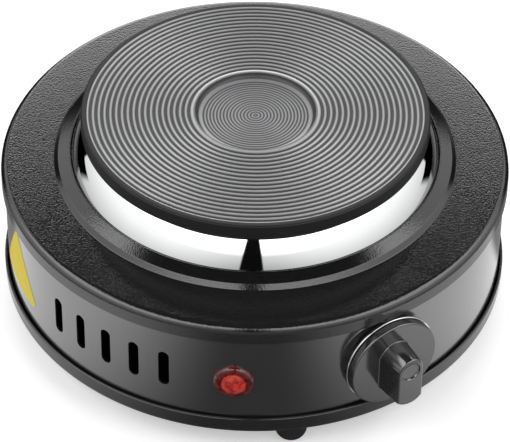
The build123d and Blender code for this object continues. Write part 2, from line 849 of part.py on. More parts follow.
def make_spindle_bush():
    """Brass bush: collar between wall and bracket, neck out through the wall to the nut."""
    bore = spindle_radius + spindle_fit
    seat = seat_inside(corner_radius(bush_collar_across_flats))
    collar = hexagon(bush_collar_across_flats, thermostat_face, seat)
    neck = ring(0, bush_neck_radius, thermostat_back, bush_nut_face - contact_gap)
    return knob_station * (collar + neck - ring(0, bore, 0, grip_face))


def make_bush_nut():
    """Flat nut on the bush, in front of the wall."""
    nut = hexagon(bush_nut_across_flats, wall_face + contact_gap, bush_nut_face)
    return knob_station * (nut - ring(0, bush_neck_radius + contact_gap, 0, grip_face))


def stacked(low, high, left, right, width):
    """A flat strip of the stack, pierced for the rivet."""
    strip = block((left, right), (-width / 2, width / 2), (low, high))
    return strip - Pos(stack_offset, 0, 0) * drill(rivet_radius + rivet_gap, low, high)


def make_thermostat_bracket():
    """Steel plate that carries the bush and the stack, with the bent-in stop ear."""
    right = stack_offset + spool_size / 2
    half = thermostat_height / 2
    plate = block((-thermostat_left, right), (-half, half), (thermostat_back, thermostat_face))
    plate -= drill(bush_neck_radius, thermostat_back, thermostat_face)
    plate -= Pos(stack_offset, 0, 0) * drill(rivet_radius + rivet_gap, thermostat_back, thermostat_face)
    ear = Rot(0, 0, stop_ear_azimuth - stop_ear_angle / 2) * turned(
        (stop_ear_inner, tip_face),
        (stop_ear_outer, tip_face),
        (stop_ear_outer, thermostat_back),
        (stop_ear_inner, thermostat_back),
        arc=stop_ear_angle,
    )
    return knob_station * (plate + ear)


def make_ceramic_spools():
    """Ceramic blocks that part the leaves on the rivet."""
    faces = (thermostat_back, adjusting_leaf_face - leaf_thickness, switch_leaf_face - leaf_thickness)
    left, right = stack_offset - spool_size / 2, stack_offset + spool_size / 2
    spools = []
    for face, height in zip(faces, spool_heights):
        spools.append(knob_station * stacked(face - height, face, left, right, spool_size))
    return spools


def make_contact_leaf(face, side):
    """Spring leaf with its contact button, on the inner (-1) or the outer (1) side."""
    left = stack_offset - leaf_reach
    leaf = stacked(face - leaf_thickness, face, left, stack_offset + leaf_tail, leaf_width)
    start = face if side > 0 else face - leaf_thickness - contact_height
    button = Pos(left + contact_inset, 0, start) * ring(0, contact_radius, 0, contact_height)
    return knob_station * (leaf + button)


def make_bimetal_strip():
    """Bimetal strip at the inner end of the stack."""
    left, right = stack_offset - bimetal_reach, stack_offset + spool_size / 2
    return knob_station * stacked(stack_back, bimetal_face, left, right, bimetal_width)


def make_ceramic_bead():
    """Bead on the bimetal that lifts the switch leaf when the strip bends."""
    reach = switch_leaf_face - leaf_thickness - bead_gap
    return knob_station * Pos(bead_offset, 0, 0) * ring(0, bead_radius, bimetal_face, reach)


def make_stack_rivet():
    """Rivet through bracket, ceramics and leaves."""
    rivet = turned(
        (0, stack_back - rivet_head_height),
        (rivet_head_radius, stack_back - rivet_head_height),
        (rivet_head_radius, stack_back),
        (rivet_radius, stack_back),
        (rivet_radius, thermostat_face),
        (rivet_head_radius, thermostat_face),
        (rivet_head_radius, thermostat_face + rivet_head_height),
        (0, thermostat_face + rivet_head_height),
    )
    return knob_station * Pos(stack_offset, 0, 0) * rivet


# ---- pilot lamp -------------------------------------------------------------------------------
lamp_station = station(lamp_azimuth, lamp_height)


def make_lamp_rim():
    """Clear round rim of the lamp, its back shaped to the wall."""
    rim = turned(
        (lamp_dome_radius, wall_face - sheet),
        (lamp_rim_radius, wall_face - sheet),
        (lamp_rim_radius, lamp_face - lamp_rim_chamfer),
        (lamp_rim_radius - lamp_rim_chamfer, lamp_face),
        (lamp_dome_radius, lamp_face),
    )
    return lamp_station * (rim - wall_column(lamp_height, wall_radius))


def make_pilot_lens():
    """Red lens: a low dome in the rim and a hollow neck through the wall."""
    bore = lamp_neck_radius - lamp_lens_wall
    seat = wall_face - contact_gap
    dome_top = lamp_face + lamp_dome_stand
    dome_edge = lamp_dome_radius - contact_gap
    return lamp_station * turned(
        (bore, lens_back),
        (lamp_neck_radius, lens_back),
        (lamp_neck_radius, seat - sheet / 2),
        (dome_edge, seat - sheet / 2),
        (dome_edge, lamp_face),
        (dome_edge / 2, dome_top - lamp_facet_drop),
        (0, dome_top),
        (0, lamp_face - lamp_lens_wall),
        (bore, lamp_face - lamp_dome_wall),
    )


def make_lamp_body():
    """Moulded body behind the lens, holding the neon tube."""
    low = lens_back - lamp_body_length
    body = ring(0, lamp_neck_radius, low, lens_back)
    body -= ring(0, neon_radius + neon_gap, lens_back - neon_seat, lens_back + cut_past)
    return lamp_station * body


def make_neon_tube():
    """Neon tube, seated in the body and reaching into the lens."""
    return lamp_station * ring(0, neon_radius, lens_back - neon_seat, lens_back + neon_reach)


def make_lamp_clip():
    """Square spring clip pushed over the lens's neck inside the wall."""
    half = clip_size / 2
    back = seat_inside(half) - clip_thickness
    clip = block((-half, half), (-half, half), (back, back + clip_thickness))
    return lamp_station * (clip - ring(0, lamp_neck_radius + contact_gap, 0, wall_face))


# ---- cord gland and terminals -----------------------------------------------------------------
gland_station = station(rear_azimuth, gland_height)


def make_cord_gland():
    """Moulded gland with a flange outside the wall and a bore for the supply cord."""
    flange_face = wall_face + gland_flange_stand
    neck = turned(
        (gland_bore_radius, gland_back),
        (gland_neck_radius, gland_back),
        (gland_neck_radius, panel_face - gland_root),
        (gland_flange_radius, panel_face - gland_root),
        (gland_flange_radius, flange_face - gland_flange_chamfer),
        (gland_flange_radius - gland_flange_chamfer, flange_face),
        (gland_bore_radius, flange_face),
    )
    shell = turned(
        (gland_neck_radius, 0),
        (2 * gland_flange_radius, 0),
        (2 * gland_flange_radius, 2 * wall_radius),
        (gland_neck_radius, 2 * wall_radius),
    )
    return gland_station * (neck - (wall_column(gland_height, panel_face) & shell))


def make_gland_nut():
    """Nut that draws the gland's flange against the wall."""
    outer = seat_inside(corner_radius(gland_nut_across_flats), panel_inside)
    nut = hexagon(gland_nut_across_flats, outer - gland_nut_height, outer)
    return gland_station * (nut - ring(0, gland_neck_radius + contact_gap, 0, wall_face))


def way_middle(number):
    """The x of a way of the terminal block."""
    return block_length / block_ways * (number - (block_ways - 1) / 2)


def make_mains_block():
    """Three-way terminal block on the pan's floor, open at both ends of each way."""
    half = block_length / 2
    body = block((-half, half), (0, block_depth), (0, block_height))
    way = block_way_size / 2
    way_heights = (block_way_rise, block_way_rise + block_way_size)
    well_heights = (block_well_floor, block_height + cut_past)
    for number in range(block_ways):
        across = (way_middle(number) - way, way_middle(number) + way)
        body -= block(across, (-cut_past, block_depth + cut_past), way_heights)
        body -= block(across, (block_web, block_depth - block_web), well_heights)
    return Pos(0, block_front, pan_floor) * body


# ---- internal leads ---------------------------------------------------------------------------
def lead(*route):
    """An insulated lead along a route of points, rounded at its corners."""
    path = FilletPolyline(*route, radius=lead_bend)
    section = RegularPolygon(lead_radius, lead_sides)
    return sweep((path ^ 0) * section, path=path)


def at_tail(leaf_face, height):
    """A point on the axis of the lead behind a leaf's tail, at a height above the ground."""
    place = knob_station * Pos(lead_tail, height - knob_height, leaf_face - tail_side)
    return tuple(place.position)


def pin_foot(side, height):
    """A point below the left (-1) or right (1) pin of the element, at a height above the ground."""
    place = element_place() * Pos(side * pin_spacing / 2, 0, height - pressure_underside)
    return tuple(place.position)


def into_way(number, height):
    """The last two points of a lead that turns into the front of a way."""
    x = way_middle(number)
    return (x, block_front - lead_turn, height), (x, block_front + lead_grip, height)


def make_live_lead():
    """Lead from the terminal block along the pan's floor to the switch leaf."""
    turn_point, end = into_way(block_ways - 1, upper_lead_height)
    return lead(
        end,
        turn_point,
        (live_lead_turn, turn_point[1], upper_lead_height),
        (live_lead_side, side_leads_back, floor_lead_height),
        (live_lead_front_side, -live_lead_front, floor_lead_height),
        at_tail(switch_leaf_face, live_lead_rise),
        at_tail(switch_leaf_face, knob_height + lead_tail_end),
    )


def make_heater_lead():
    """Lead from the adjusting leaf, over the wiring space, to one pin of the element."""
    return lead(
        at_tail(adjusting_leaf_face, knob_height - lead_tail_end),
        at_tail(adjusting_leaf_face, lead_level),
        (heater_lead_side, side_leads_back, lead_level),
        pin_foot(-1, lead_level),
        pin_foot(-1, pressure_underside - pin_size[2] - contact_gap),
    )


def make_neutral_lead():
    """Lead from the element's other pin down to the terminal block."""
    turn_point, end = into_way(0, upper_lead_height)
    return lead(
        pin_foot(1, pressure_underside - pin_size[2] - contact_gap),
        pin_foot(1, lead_level),
        (turn_point[0], turn_point[1], lead_level),
        turn_point,
        end,
    )


def make_lamp_leads():
    """The pilot lamp's two leads, down to the floor and back to the terminal block."""
    back = lens_back - lamp_body_length - contact_gap
    leads = []
    for side, number in ((-1, 0), (1, block_ways - 1)):
        start = lamp_station * Pos(side * lamp_lead_spread, 0, back)
        bend = lamp_station * Pos(side * lamp_lead_spread, 0, back - lamp_lead_reach)
        foot = (bend.position.X, bend.position.Y, floor_lead_height)
        x = way_middle(number)
        climb = (x, block_front - lead_turn - lead_ramp, floor_lead_height)
        last = into_way(number, lower_lead_height)
        leads.append(lead(tuple(start.position), tuple(bend.position), foot, climb, *last))
    return leads


def make_earth_lead():
    """Earth lead from the block's middle way to the bracket beside it."""
    azimuth = foot_azimuth + bracket_offset + 360 / foot_count
    reach = wall_inside - bracket_reach + lead_radius
    height = pan_floor + bracket_sheet + contact_gap + lead_radius
    end = turn(azimuth) * at_front(reach, height)
    rear = block_front + block_depth
    return lead(
        (0, rear - lead_grip, lower_lead_height),
        (0, rear + lead_turn, lower_lead_height),
        (earth_lead_side, earth_lead_back, height),
        tuple(end.position),
    )


# ---- parts ------------------------------------------------------------------------------------
def make_parts():
    """Every piece by name: a solid, or a list of solids where identical ones share a name."""
    return {
        "top_cover": make_top_cover(),
        "side_wall": make_side_wall(),
        "rear_panel": make_rear_panel(),
        "base_pan": make_base_pan(),
        "feet": make_feet(),
        "base_brackets": make_base_brackets(),
        "base_screws": make_base_screws(),
        "cover_brackets": make_cover_brackets(),
        "heating_plate": make_heating_plate(),
        "mica_upper": make_mica(upper_mica_underside),
        "resistance_ribbon": make_resistance_ribbon(),
        "mica_lower": make_mica(lower_mica_underside),
        "insulating_pad": make_insulating_pad(),
        "pressure_plate": make_pressure_plate(),
        "element_block": make_element_block(),
        "element_pins": pin_slots(0),
        "centre_stud": make_centre_stud(),
        "plate_nut": make_nut(spacer_top, thin_nut_height),
        "stud_spacer": make_stud_spacer(),
        "heat_shield": make_heat_shield(),
        "support_bridge": make_support_bridge(),
        "bridge_washer": make_washer(),
        "bridge_nut": make_nut(nut_underside, nut_height),
        "reflector_collar": make_reflector_collar(),
        "knob_bezel": make_knob_bezel(),
        "knob": make_knob(),
        "adjusting_spindle": make_adjusting_spindle(),
        "spindle_tip": make_spindle_tip(),
        "spindle_bush": make_spindle_bush(),
        "bush_nut": make_bush_nut(),
        "thermostat_bracket": make_thermostat_bracket(),
        "ceramic_spools": make_ceramic_spools(),
        "adjusting_leaf": make_contact_leaf(adjusting_leaf_face, -1),
        "switch_leaf": make_contact_leaf(switch_leaf_face, 1),
        "bimetal_strip": make_bimetal_strip(),
        "ceramic_bead": make_ceramic_bead(),
        "stack_rivet": make_stack_rivet(),
        "lamp_rim": make_lamp_rim(),
        "pilot_lens": make_pilot_lens(),
        "lamp_body": make_lamp_body(),
        "neon_tube": make_neon_tube(),
        "lamp_clip": make_lamp_clip(),
        "cord_gland": make_cord_gland(),
        "gland_nut": make_gland_nut(),
        "mains_block": make_mains_block(),
        "live_lead": make_live_lead(),
        "heater_lead": make_heater_lead(),
        "neutral_lead": make_neutral_lead(),
        "lamp_leads": make_lamp_leads(),
        "earth_lead": make_earth_lead(),
    }


os.makedirs("parts", exist_ok=True)
for name, shape in make_parts().items():
    piece = Compound(children=list(shape)) if isinstance(shape, list) else shape
    export_step(piece, f"parts/{name}.step")
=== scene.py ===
"""Single hot plate burner: its finishes, fine pieces, studio and camera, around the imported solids.

Sizes are in millimetres, as on the part's drawings, and become metres when a mesh is made. Z is the
plate's axis, the front with the pilot lamp faces -Y, and an azimuth is measured round the axis from
the front, positive towards +X. What sits on the side wall is drawn at its own spot, where x runs to
the right along the wall, y upwards and z outwards from the axis.
"""

import json
import logging
import math
import random
from abc import ABC, abstractmethod
from dataclasses import dataclass
from enum import Enum
from typing import Iterable, Sequence, Union

import bmesh
import bpy
from mathutils import Matrix, Vector

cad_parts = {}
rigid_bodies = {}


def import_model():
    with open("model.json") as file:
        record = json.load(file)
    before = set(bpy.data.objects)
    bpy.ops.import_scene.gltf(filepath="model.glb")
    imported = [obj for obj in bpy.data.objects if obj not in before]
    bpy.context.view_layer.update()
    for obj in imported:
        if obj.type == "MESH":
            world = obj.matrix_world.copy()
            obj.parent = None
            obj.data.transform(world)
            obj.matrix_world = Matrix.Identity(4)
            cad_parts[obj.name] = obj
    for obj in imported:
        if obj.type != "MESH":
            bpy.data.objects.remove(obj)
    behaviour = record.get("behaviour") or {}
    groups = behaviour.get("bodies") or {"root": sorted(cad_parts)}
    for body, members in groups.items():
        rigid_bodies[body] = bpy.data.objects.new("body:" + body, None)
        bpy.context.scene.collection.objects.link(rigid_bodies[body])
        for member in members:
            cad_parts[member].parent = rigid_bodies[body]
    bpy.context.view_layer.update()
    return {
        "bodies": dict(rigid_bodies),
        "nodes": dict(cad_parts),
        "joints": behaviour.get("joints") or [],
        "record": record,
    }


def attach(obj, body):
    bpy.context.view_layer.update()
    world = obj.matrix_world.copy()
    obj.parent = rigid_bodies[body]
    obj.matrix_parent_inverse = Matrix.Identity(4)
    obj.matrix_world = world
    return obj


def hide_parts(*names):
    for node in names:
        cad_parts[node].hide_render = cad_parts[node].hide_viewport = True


log = logging.getLogger("burner")

Corner = tuple[float, ...]
Point = tuple[float, float]
Colour = tuple[float, float, float, float]

MM = 0.001
DEGREES = math.degrees(1)
ON_AXIS = 1e-6  # a smaller radius is a point on the axis
TOUCH = 0.01  # how near counts as touching
GAP = 0.01  # what is laid on the wall keeps this far off it
MIX_FACTOR, MIX_LOW, MIX_HIGH, MIX_RESULT = 0, 6, 7, 2  # the Mix node's sockets for colours
WHITE: Colour = (1.0, 1.0, 1.0, 1.0)


class Body(Enum):
    """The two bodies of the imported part."""

    HOUSING = "housing"
    KNOB = "control_knob"


class Slot(Enum):
    """The record's material slots."""

    ENAMEL = "textured_black_coat"
    SATIN = "satin_black_coat"
    CAST = "cast_plate"
    CHROME = "bright_chrome"
    KNOB = "knob_plastic"
    RED_LENS = "red_lens"
    CLEAR_RIM = "clear_rim"
    RUBBER = "black_rubber"
    ZINC = "zinc_steel"
    BRASS = "brass"
    BRONZE = "spring_bronze"
    STEATITE = "steatite"
    MICA = "mica"
    FIBRE = "mineral_fibre"
    RESISTANCE = "resistance_alloy"
    GLAND = "gland_plastic"
    NEON = "neon_glass"
    SLEEVE = "lead_sleeve"


class Axis(Enum):
    """The three parts of a vector."""

    X = "X"
    Y = "Y"
    Z = "Z"


class Ray(Enum):
    """The kinds of ray that the studio answers each in its own way."""

    CAMERA = "Is Camera Ray"
    TRANSMISSION = "Is Transmission Ray"
    GLOSSY = "Is Glossy Ray"
    DIFFUSE = "Is Diffuse Ray"


# ---- shader recipes -----------------------------------------------------------------------------
class Wire:
    """One shader value that can stand in a sum: each operator adds its Math node."""

    def __init__(self, recipe: "Recipe", socket: bpy.types.NodeSocket) -> None:
        """Holds the output socket and the recipe that it belongs to."""
        self.recipe = recipe
        self.socket = socket

    def __add__(self, other: "Value") -> "Wire":
        """The sum."""
        return self.recipe.maths("ADD", self, other)

    def __radd__(self, other: "Value") -> "Wire":
        """The sum, from the right."""
        return self.recipe.maths("ADD", other, self)

    def __sub__(self, other: "Value") -> "Wire":
        """The difference."""
        return self.recipe.maths("SUBTRACT", self, other)

    def __rsub__(self, other: "Value") -> "Wire":
        """The difference, from the right."""
        return self.recipe.maths("SUBTRACT", other, self)

    def __mul__(self, other: "Value") -> "Wire":
        """The product."""
        return self.recipe.maths("MULTIPLY", self, other)

    def __rmul__(self, other: "Value") -> "Wire":
        """The product, from the right."""
        return self.recipe.maths("MULTIPLY", other, self)

    def __truediv__(self, other: "Value") -> "Wire":
        """The quotient."""
        return self.recipe.maths("DIVIDE", self, other)

    def __rtruediv__(self, other: "Value") -> "Wire":
        """The quotient, from the right."""
        return self.recipe.maths("DIVIDE", other, self)

    def smooth(self, start: float, end: float) -> "Wire":
        """A soft step from 0 where the value is start to 1 where it is end.

        Args:
            start: Value at which the step begins.
            end: Value at which it is complete. It may be below start.

        Returns:
            The mask.
        """
        low, high, first, last = (start, end, 0.0, 1.0) if start <= end else (end, start, 1.0, 0.0)
        settings = {"interpolation_type": "SMOOTHSTEP"}
        inputs = {"Value": self, "From Min": low, "From Max": high, "To Min": first, "To Max": last}
        return self.recipe.node("ShaderNodeMapRange", settings, inputs)


Value = Union[Wire, float, Sequence[float]]


class Recipe:
    """The node tree of one finish, or of the world."""

    def __init__(self, tree: bpy.types.NodeTree) -> None:
        """Empties the tree, so that only this recipe's nodes are in it."""
        self.tree = tree
        tree.nodes.clear()

    def node(
        self,
        kind: str,
        settings: dict[str, object] | None = None,
        inputs: dict[int | str, Value] | None = None,
        output: int | str = 0,
    ) -> Wire:
        """Adds a node of any type.

        Args:
            kind: Blender's name of the node type.
            settings: The node's own settings.
            inputs: Values or links of its sockets, by number or name.
            output: The output that is wanted, by number or name.

        Returns:
            That output.
        """
        made = self.tree.nodes.new(kind)
        for name, setting in (settings or {}).items():
            setattr(made, name, setting)
        for name, value in (inputs or {}).items():
            if isinstance(value, Wire):
                self.tree.links.new(value.socket, made.inputs[name])
            else:
                made.inputs[name].default_value = value
        return Wire(self, made.outputs[output])

    def maths(self, operation: str, *values: Value) -> Wire:
        """A Math node of any operation on its one or two values."""
        return self.node("ShaderNodeMath", {"operation": operation}, dict(enumerate(values)))

    def ray(self, kind: Ray) -> Wire:
        """1 for one kind of ray, and 0 for every other."""
        return self.node("ShaderNodeLightPath", output=kind.value)

    def place(self) -> Wire:
        """The point on the piece, in metres in the part's own frame."""
        return self.node("ShaderNodeTexCoord", output="Object")

    def part(self, at: Wire, axis: Axis) -> Wire:
        """One coordinate of a vector."""
        return self.node("ShaderNodeSeparateXYZ", None, {0: at}, axis.value)

    def azimuth(self, east: Wire, north: Wire) -> Wire:
        """Degrees round the plate's axis from the front."""
        return self.maths("ARCTAN2", east, 0.0 - north) * DEGREES

    def stretched(self, at: Wire, factors: tuple[float, float, float]) -> Wire:
        """The place with each of its directions scaled."""
        return self.node("ShaderNodeVectorMath", {"operation": "MULTIPLY"}, {0: at, 1: factors})

    def radius(self, at: Wire) -> Wire:
        """Distance from the plate's axis, in millimetres."""
        flat = self.stretched(at, (1 / MM, 1 / MM, 0.0))
        return self.node("ShaderNodeVectorMath", {"operation": "LENGTH"}, {0: flat}, "Value")

    def noise(self, at: Wire, scale: float, detail: float = 3.0, roughness: float = 0.55) -> Wire:
        """Soft noise from 0 to 1 with the given number of cells per metre."""
        inputs = {"Vector": at, "Scale": scale, "Detail": detail, "Roughness": roughness}
        return self.node("ShaderNodeTexNoise", None, inputs, "Fac")

    def cells(self, at: Wire, scale: float, smoothness: float = 0.6) -> Wire:
        """Rounded grains with the given number per metre: low at each grain's middle."""
        inputs = {"Vector": at, "Scale": scale, "Smoothness": smoothness}
        return self.node("ShaderNodeTexVoronoi", {"feature": "SMOOTH_F1"}, inputs, "Distance")

    def mixed(self, mask: Value, low: Value, high: Value) -> Wire:
        """A colour between low, where the mask is 0, and high, where it is 1."""
        inputs = {MIX_FACTOR: mask, MIX_LOW: low, MIX_HIGH: high}
        return self.node("ShaderNodeMix", {"data_type": "RGBA"}, inputs, MIX_RESULT)

    def bumped(self, height: Wire, depth: float) -> Wire:
        """A normal that follows a height from 0 to 1, which stands for a depth in millimetres."""
        inputs = {"Strength": 1.0, "Distance": depth * MM, "Height": height}
        return self.node("ShaderNodeBump", None, inputs)

    def emission(self, strength: Wire) -> Wire:
        """White light of the given strength."""
        return self.node("ShaderNodeEmission", None, {"Color": WHITE, "Strength": strength})

    def surface(self, **sockets: Value) -> None:
        """Ends the recipe in a Principled surface. A name's underscores stand for spaces."""
        inputs = {name.replace("_", " "): value for name, value in sockets.items()}
        self.end_in(self.node("ShaderNodeBsdfPrincipled", None, inputs))

    def end_in(self, shader: Wire, kind: str = "ShaderNodeOutputMaterial") -> None:
        """Ends the recipe in a shader, by the output node of a material or of the world."""
        made = self.tree.nodes.new(kind)
        self.tree.links.new(shader.socket, made.inputs["Surface"])


# ---- finishes -----------------------------------------------------------------------------------
# A scale is a number of cells per metre, a relief is a depth in millimetres, and a pair gives the
# start and the end of a soft step. What is called rough_by adds to the roughness with its pattern.
def toned(colour: Colour, factor: float) -> Colour:
    """A colour made lighter or darker by a factor."""
    return tuple(min(1.0, part * factor) for part in colour[:3]) + (1.0,)


@dataclass(frozen=True)
class Finish(ABC):
    """One finish: its name and the record's slot that it belongs to."""

    name: str
    slot: Slot

    @abstractmethod
    def mix(self, recipe: Recipe) -> None:
        """Fills the recipe with this finish's nodes."""

    def material(self) -> bpy.types.Material:
        """The Blender material of this finish, made at its first use.

        Returns:
            The material.
        """
        found = bpy.data.materials.get(self.name)
        if found is None:
            found = bpy.data.materials.new(self.name)
            found.use_nodes = True
            self.mix(Recipe(found.node_tree))
        return found


@dataclass(frozen=True)
class StoveEnamel(Finish):
    """Black enamel with a fine pebble grain, drawn smoother on the band round the opening."""

    body: Colour = (0.002, 0.002, 0.0021, 1.0)
    crest: Colour = (0.012, 0.012, 0.0123, 1.0)
    pebble_scale: float = 2000.0
    fine_scale: float = 3400.0
    patch_scale: float = 60.0
    pebble_share: float = 0.75
    relief: float = 0.032
    band_end: Point = (57.7, 58.7)
    band_grain: float = 0.65
    rough: float = 0.07
    rough_by_fine: float = 0.05
    rough_by_patch: float = 0.02
    ior: float = 1.8

    def mix(self, recipe: Recipe) -> None:
        """Pebbles of two sizes over a slightly uneven coat.

        Args:
            recipe: The node tree to fill.
        """
        at = recipe.place()
        pebbles = recipe.cells(at, self.pebble_scale)
        fine = recipe.noise(at, self.fine_scale, detail=2.0)
        patches = recipe.noise(at, self.patch_scale)
        grained = recipe.radius(at).smooth(*self.band_end)
        height = (1.0 - pebbles) * self.pebble_share + fine * (1.0 - self.pebble_share)
        grain = height * (grained * (1.0 - self.band_grain) + self.band_grain)
        recipe.surface(
            Base_Color=recipe.mixed(grain, self.body, self.crest),
            Roughness=self.rough + fine * self.rough_by_fine + patches * self.rough_by_patch,
            IOR=self.ior,
            Normal=recipe.bumped(grain, self.relief),
        )


@dataclass(frozen=True)
class SatinPaint(Finish):
    """Smooth satin black paint with a faint orange peel."""

    colour: Colour = (0.005, 0.005, 0.0053, 1.0)
    worn: Colour = (0.009, 0.009, 0.0095, 1.0)
    peel_scale: float = 420.0
    dust_scale: float = 3000.0
    patch_scale: float = 45.0
    peel_share: float = 0.4
    relief: float = 0.014
    rough: float = 0.15
    rough_by_patch: float = 0.05
    rough_by_dust: float = 0.03
    ior: float = 2.15
    varnish: float = 1.0
    varnish_rough: float = 0.1
    varnish_ior: float = 1.6

    def mix(self, recipe: Recipe) -> None:
        """Long soft waves and a very fine dust of grain.

        Args:
            recipe: The node tree to fill.
        """
        at = recipe.place()
        peel = recipe.noise(at, self.peel_scale, detail=2.0)
        dust = recipe.noise(at, self.dust_scale, detail=1.0)
        patches = recipe.noise(at, self.patch_scale)
        height = peel * self.peel_share + dust * (1.0 - self.peel_share)
        recipe.surface(
            Base_Color=recipe.mixed(patches, self.colour, self.worn),
            Roughness=self.rough + patches * self.rough_by_patch + dust * self.rough_by_dust,
            IOR=self.ior,
            Coat_Weight=self.varnish,
            Coat_Roughness=self.varnish_rough,
            Coat_IOR=self.varnish_ior,
            Normal=recipe.bumped(height, self.relief),
        )


@dataclass(frozen=True)
class CastIron(Finish):
    """Turned casting under a dark heat-proof coat, with painted highlights on its ridges and painted
    shade in its valleys.
    """

    # valley is painted shade and ridge a painted highlight: the plate's crests are mixed from one
    # towards the other
    valley: Colour = (0.035, 0.035, 0.036, 1.0)
    ridge: Colour = (0.56, 0.56, 0.567, 1.0)
    rim: Colour = (0.02, 0.02, 0.0205, 1.0)
    grain_scale: float = 2200.0
    patch_scale: float = 70.0
    relief: float = 0.03
    crests: Point = (64.64, 65.0)
    ring_crests: Point = (63.04, 63.2)
    ring_ceiling: Point = (63.5, 63.3)
    highlight_start: Point = (17.65, 18.05)
    ridges_end: Point = (48.0, 48.35)
    edge_highlight: float = 0.2
    ridge_highlight: float = 0.55
    ring_highlight: float = 0.46
    grain_share: float = 0.12
    rough: float = 0.3
    rough_by_grain: float = 0.1
    rough_by_patch: float = 0.05
    metallic: float = 0.5
    ior: float = 1.4

    def mix(self, recipe: Recipe) -> None:
        """Painted highlights on the crests and on the tool's fine rings, painted shade in the
        valleys and along the recess's edge, and a cast grain.

        Args:
            recipe: The node tree to fill.
        """
        at = recipe.place()
        grain = recipe.noise(at, self.grain_scale)
        patches = recipe.noise(at, self.patch_scale)
        height = recipe.part(at, Axis.Z) / MM
        radius = recipe.radius(at)
        rings = height.smooth(*self.ring_crests) * height.smooth(*self.ring_ceiling)
        # near the recess's edge the crests get less of the painted highlight, as painted shade along
        # that edge
        land = radius.smooth(*self.highlight_start) * self.ridge_highlight + self.edge_highlight
        crests = height.smooth(*self.crests) * land
        # painted highlights on the crests and fine rings, together with the cast grain's own tone
        rubbed = crests + rings * self.ring_highlight + grain * self.grain_share
        face = recipe.mixed(rubbed, self.valley, self.ridge)
        recipe.surface(
            Base_Color=recipe.mixed(radius.smooth(*self.ridges_end), face, self.rim),
            Roughness=self.rough + grain * self.rough_by_grain + patches * self.rough_by_patch,
            Metallic=self.metallic,
            IOR=self.ior,
            Normal=recipe.bumped(grain, self.relief),
        )


@dataclass(frozen=True)
class Chrome(Finish):
    """Bright plated steel."""

    colour: Colour = (0.86, 0.865, 0.87, 1.0)
    hazed: Colour = (0.8, 0.805, 0.81, 1.0)
    haze_scale: float = 90.0
    rough: float = 0.015
    rough_by_haze: float = 0.02

    def mix(self, recipe: Recipe) -> None:
        """A mirror with the faintest polishing haze.

        Args:
            recipe: The node tree to fill.
        """
        haze = recipe.noise(recipe.place(), self.haze_scale)
        recipe.surface(
            Base_Color=recipe.mixed(haze, self.colour, self.hazed),
            Roughness=self.rough + haze * self.rough_by_haze,
            Metallic=1.0,
        )


@dataclass(frozen=True)
class Moulded(Finish):
    """Moulded plastic or rubber with a fine grain."""

    colour: Colour = (0.03, 0.03, 0.032, 1.0)
    paler: float = 1.35
    grain_scale: float = 2400.0
    patch_scale: float = 120.0
    relief: float = 0.01
    rough: float = 0.35
    rough_by_grain: float = 0.12
    ior: float = 1.5

    def mix(self, recipe: Recipe) -> None:
        """An even tone that the grain breaks a little.

        Args:
            recipe: The node tree to fill.
        """
        at = recipe.place()
        grain = recipe.noise(at, self.grain_scale, detail=2.0)
        patches = recipe.noise(at, self.patch_scale)
        recipe.surface(
            Base_Color=recipe.mixed(patches, self.colour, toned(self.colour, self.paler)),
            Roughness=self.rough + grain * self.rough_by_grain,
            IOR=self.ior,
            Normal=recipe.bumped(grain, self.relief),
        )


@dataclass(frozen=True)
class Metal(Finish):
    """Plain machined, plated or rolled metal."""

    colour: Colour = (0.55, 0.56, 0.58, 1.0)
    darker: float = 0.7
    mark_scale: float = 500.0
    mark_stretch: tuple[float, float, float] = (1.0, 1.0, 9.0)
    stain_scale: float = 130.0
    relief: float = 0.006
    rough: float = 0.32
    rough_by_mark: float = 0.15

    def mix(self, recipe: Recipe) -> None:
        """Rolling marks along one direction, and faint stains.

        Args:
            recipe: The node tree to fill.
        """
        at = recipe.place()
        marks = recipe.noise(recipe.stretched(at, self.mark_stretch), self.mark_scale)
        stains = recipe.noise(at, self.stain_scale)
        recipe.surface(
            Base_Color=recipe.mixed(stains, self.colour, toned(self.colour, self.darker)),
            Roughness=self.rough + marks * self.rough_by_mark,
            Metallic=1.0,
            Normal=recipe.bumped(marks, self.relief),
        )


@dataclass(frozen=True)
class Mineral(Finish):
    """Fired ceramic, mica or pressed fibre."""

    colour: Colour = (0.8, 0.77, 0.7, 1.0)
    fleck: Colour = (0.6, 0.55, 0.46, 1.0)
    fleck_scale: float = 900.0
    relief: float = 0.02
    rough: float = 0.5
    rough_by_fleck: float = 0.15

    def mix(self, recipe: Recipe) -> None:
        """Fine flecks and a slightly uneven face.

        Args:
            recipe: The node tree to fill.
        """
        flecks = recipe.noise(recipe.place(), self.fleck_scale, detail=4.0)
        recipe.surface(
            Base_Color=recipe.mixed(flecks, self.colour, self.fleck),
            Roughness=self.rough + flecks * self.rough_by_fleck,
            Normal=recipe.bumped(flecks, self.relief),
        )


@dataclass(frozen=True)
class TintedClear(Finish):
    """Clear or tinted moulded plastic or glass."""

    colour: Colour = (0.62, 0.03, 0.02, 1.0)
    deep: Colour = (0.3, 0.008, 0.006, 1.0)
    streak_scale: float = 600.0
    streaks: Point = (0.4, 0.62)
    transmission: float = 0.35
    glow: float = 0.0
    rough: float = 0.06
    rough_by_streak: float = 0.04
    ior: float = 1.49
    skin: float = 0.6
    skin_rough: float = 0.03

    def mix(self, recipe: Recipe) -> None:
        """Deeper colour in soft streaks, under a bright surface.

        Args:
            recipe: The node tree to fill.
        """
        streaks = recipe.noise(recipe.place(), self.streak_scale, detail=2.0)
        colour = recipe.mixed(streaks.smooth(*self.streaks), self.colour, self.deep)
        recipe.surface(
            Base_Color=colour,
            Roughness=self.rough + streaks * self.rough_by_streak,
            IOR=self.ior,
            Transmission_Weight=self.transmission,
            Coat_Weight=self.skin,
            Coat_Roughness=self.skin_rough,
            Emission_Color=colour,
            Emission_Strength=self.glow,
        )


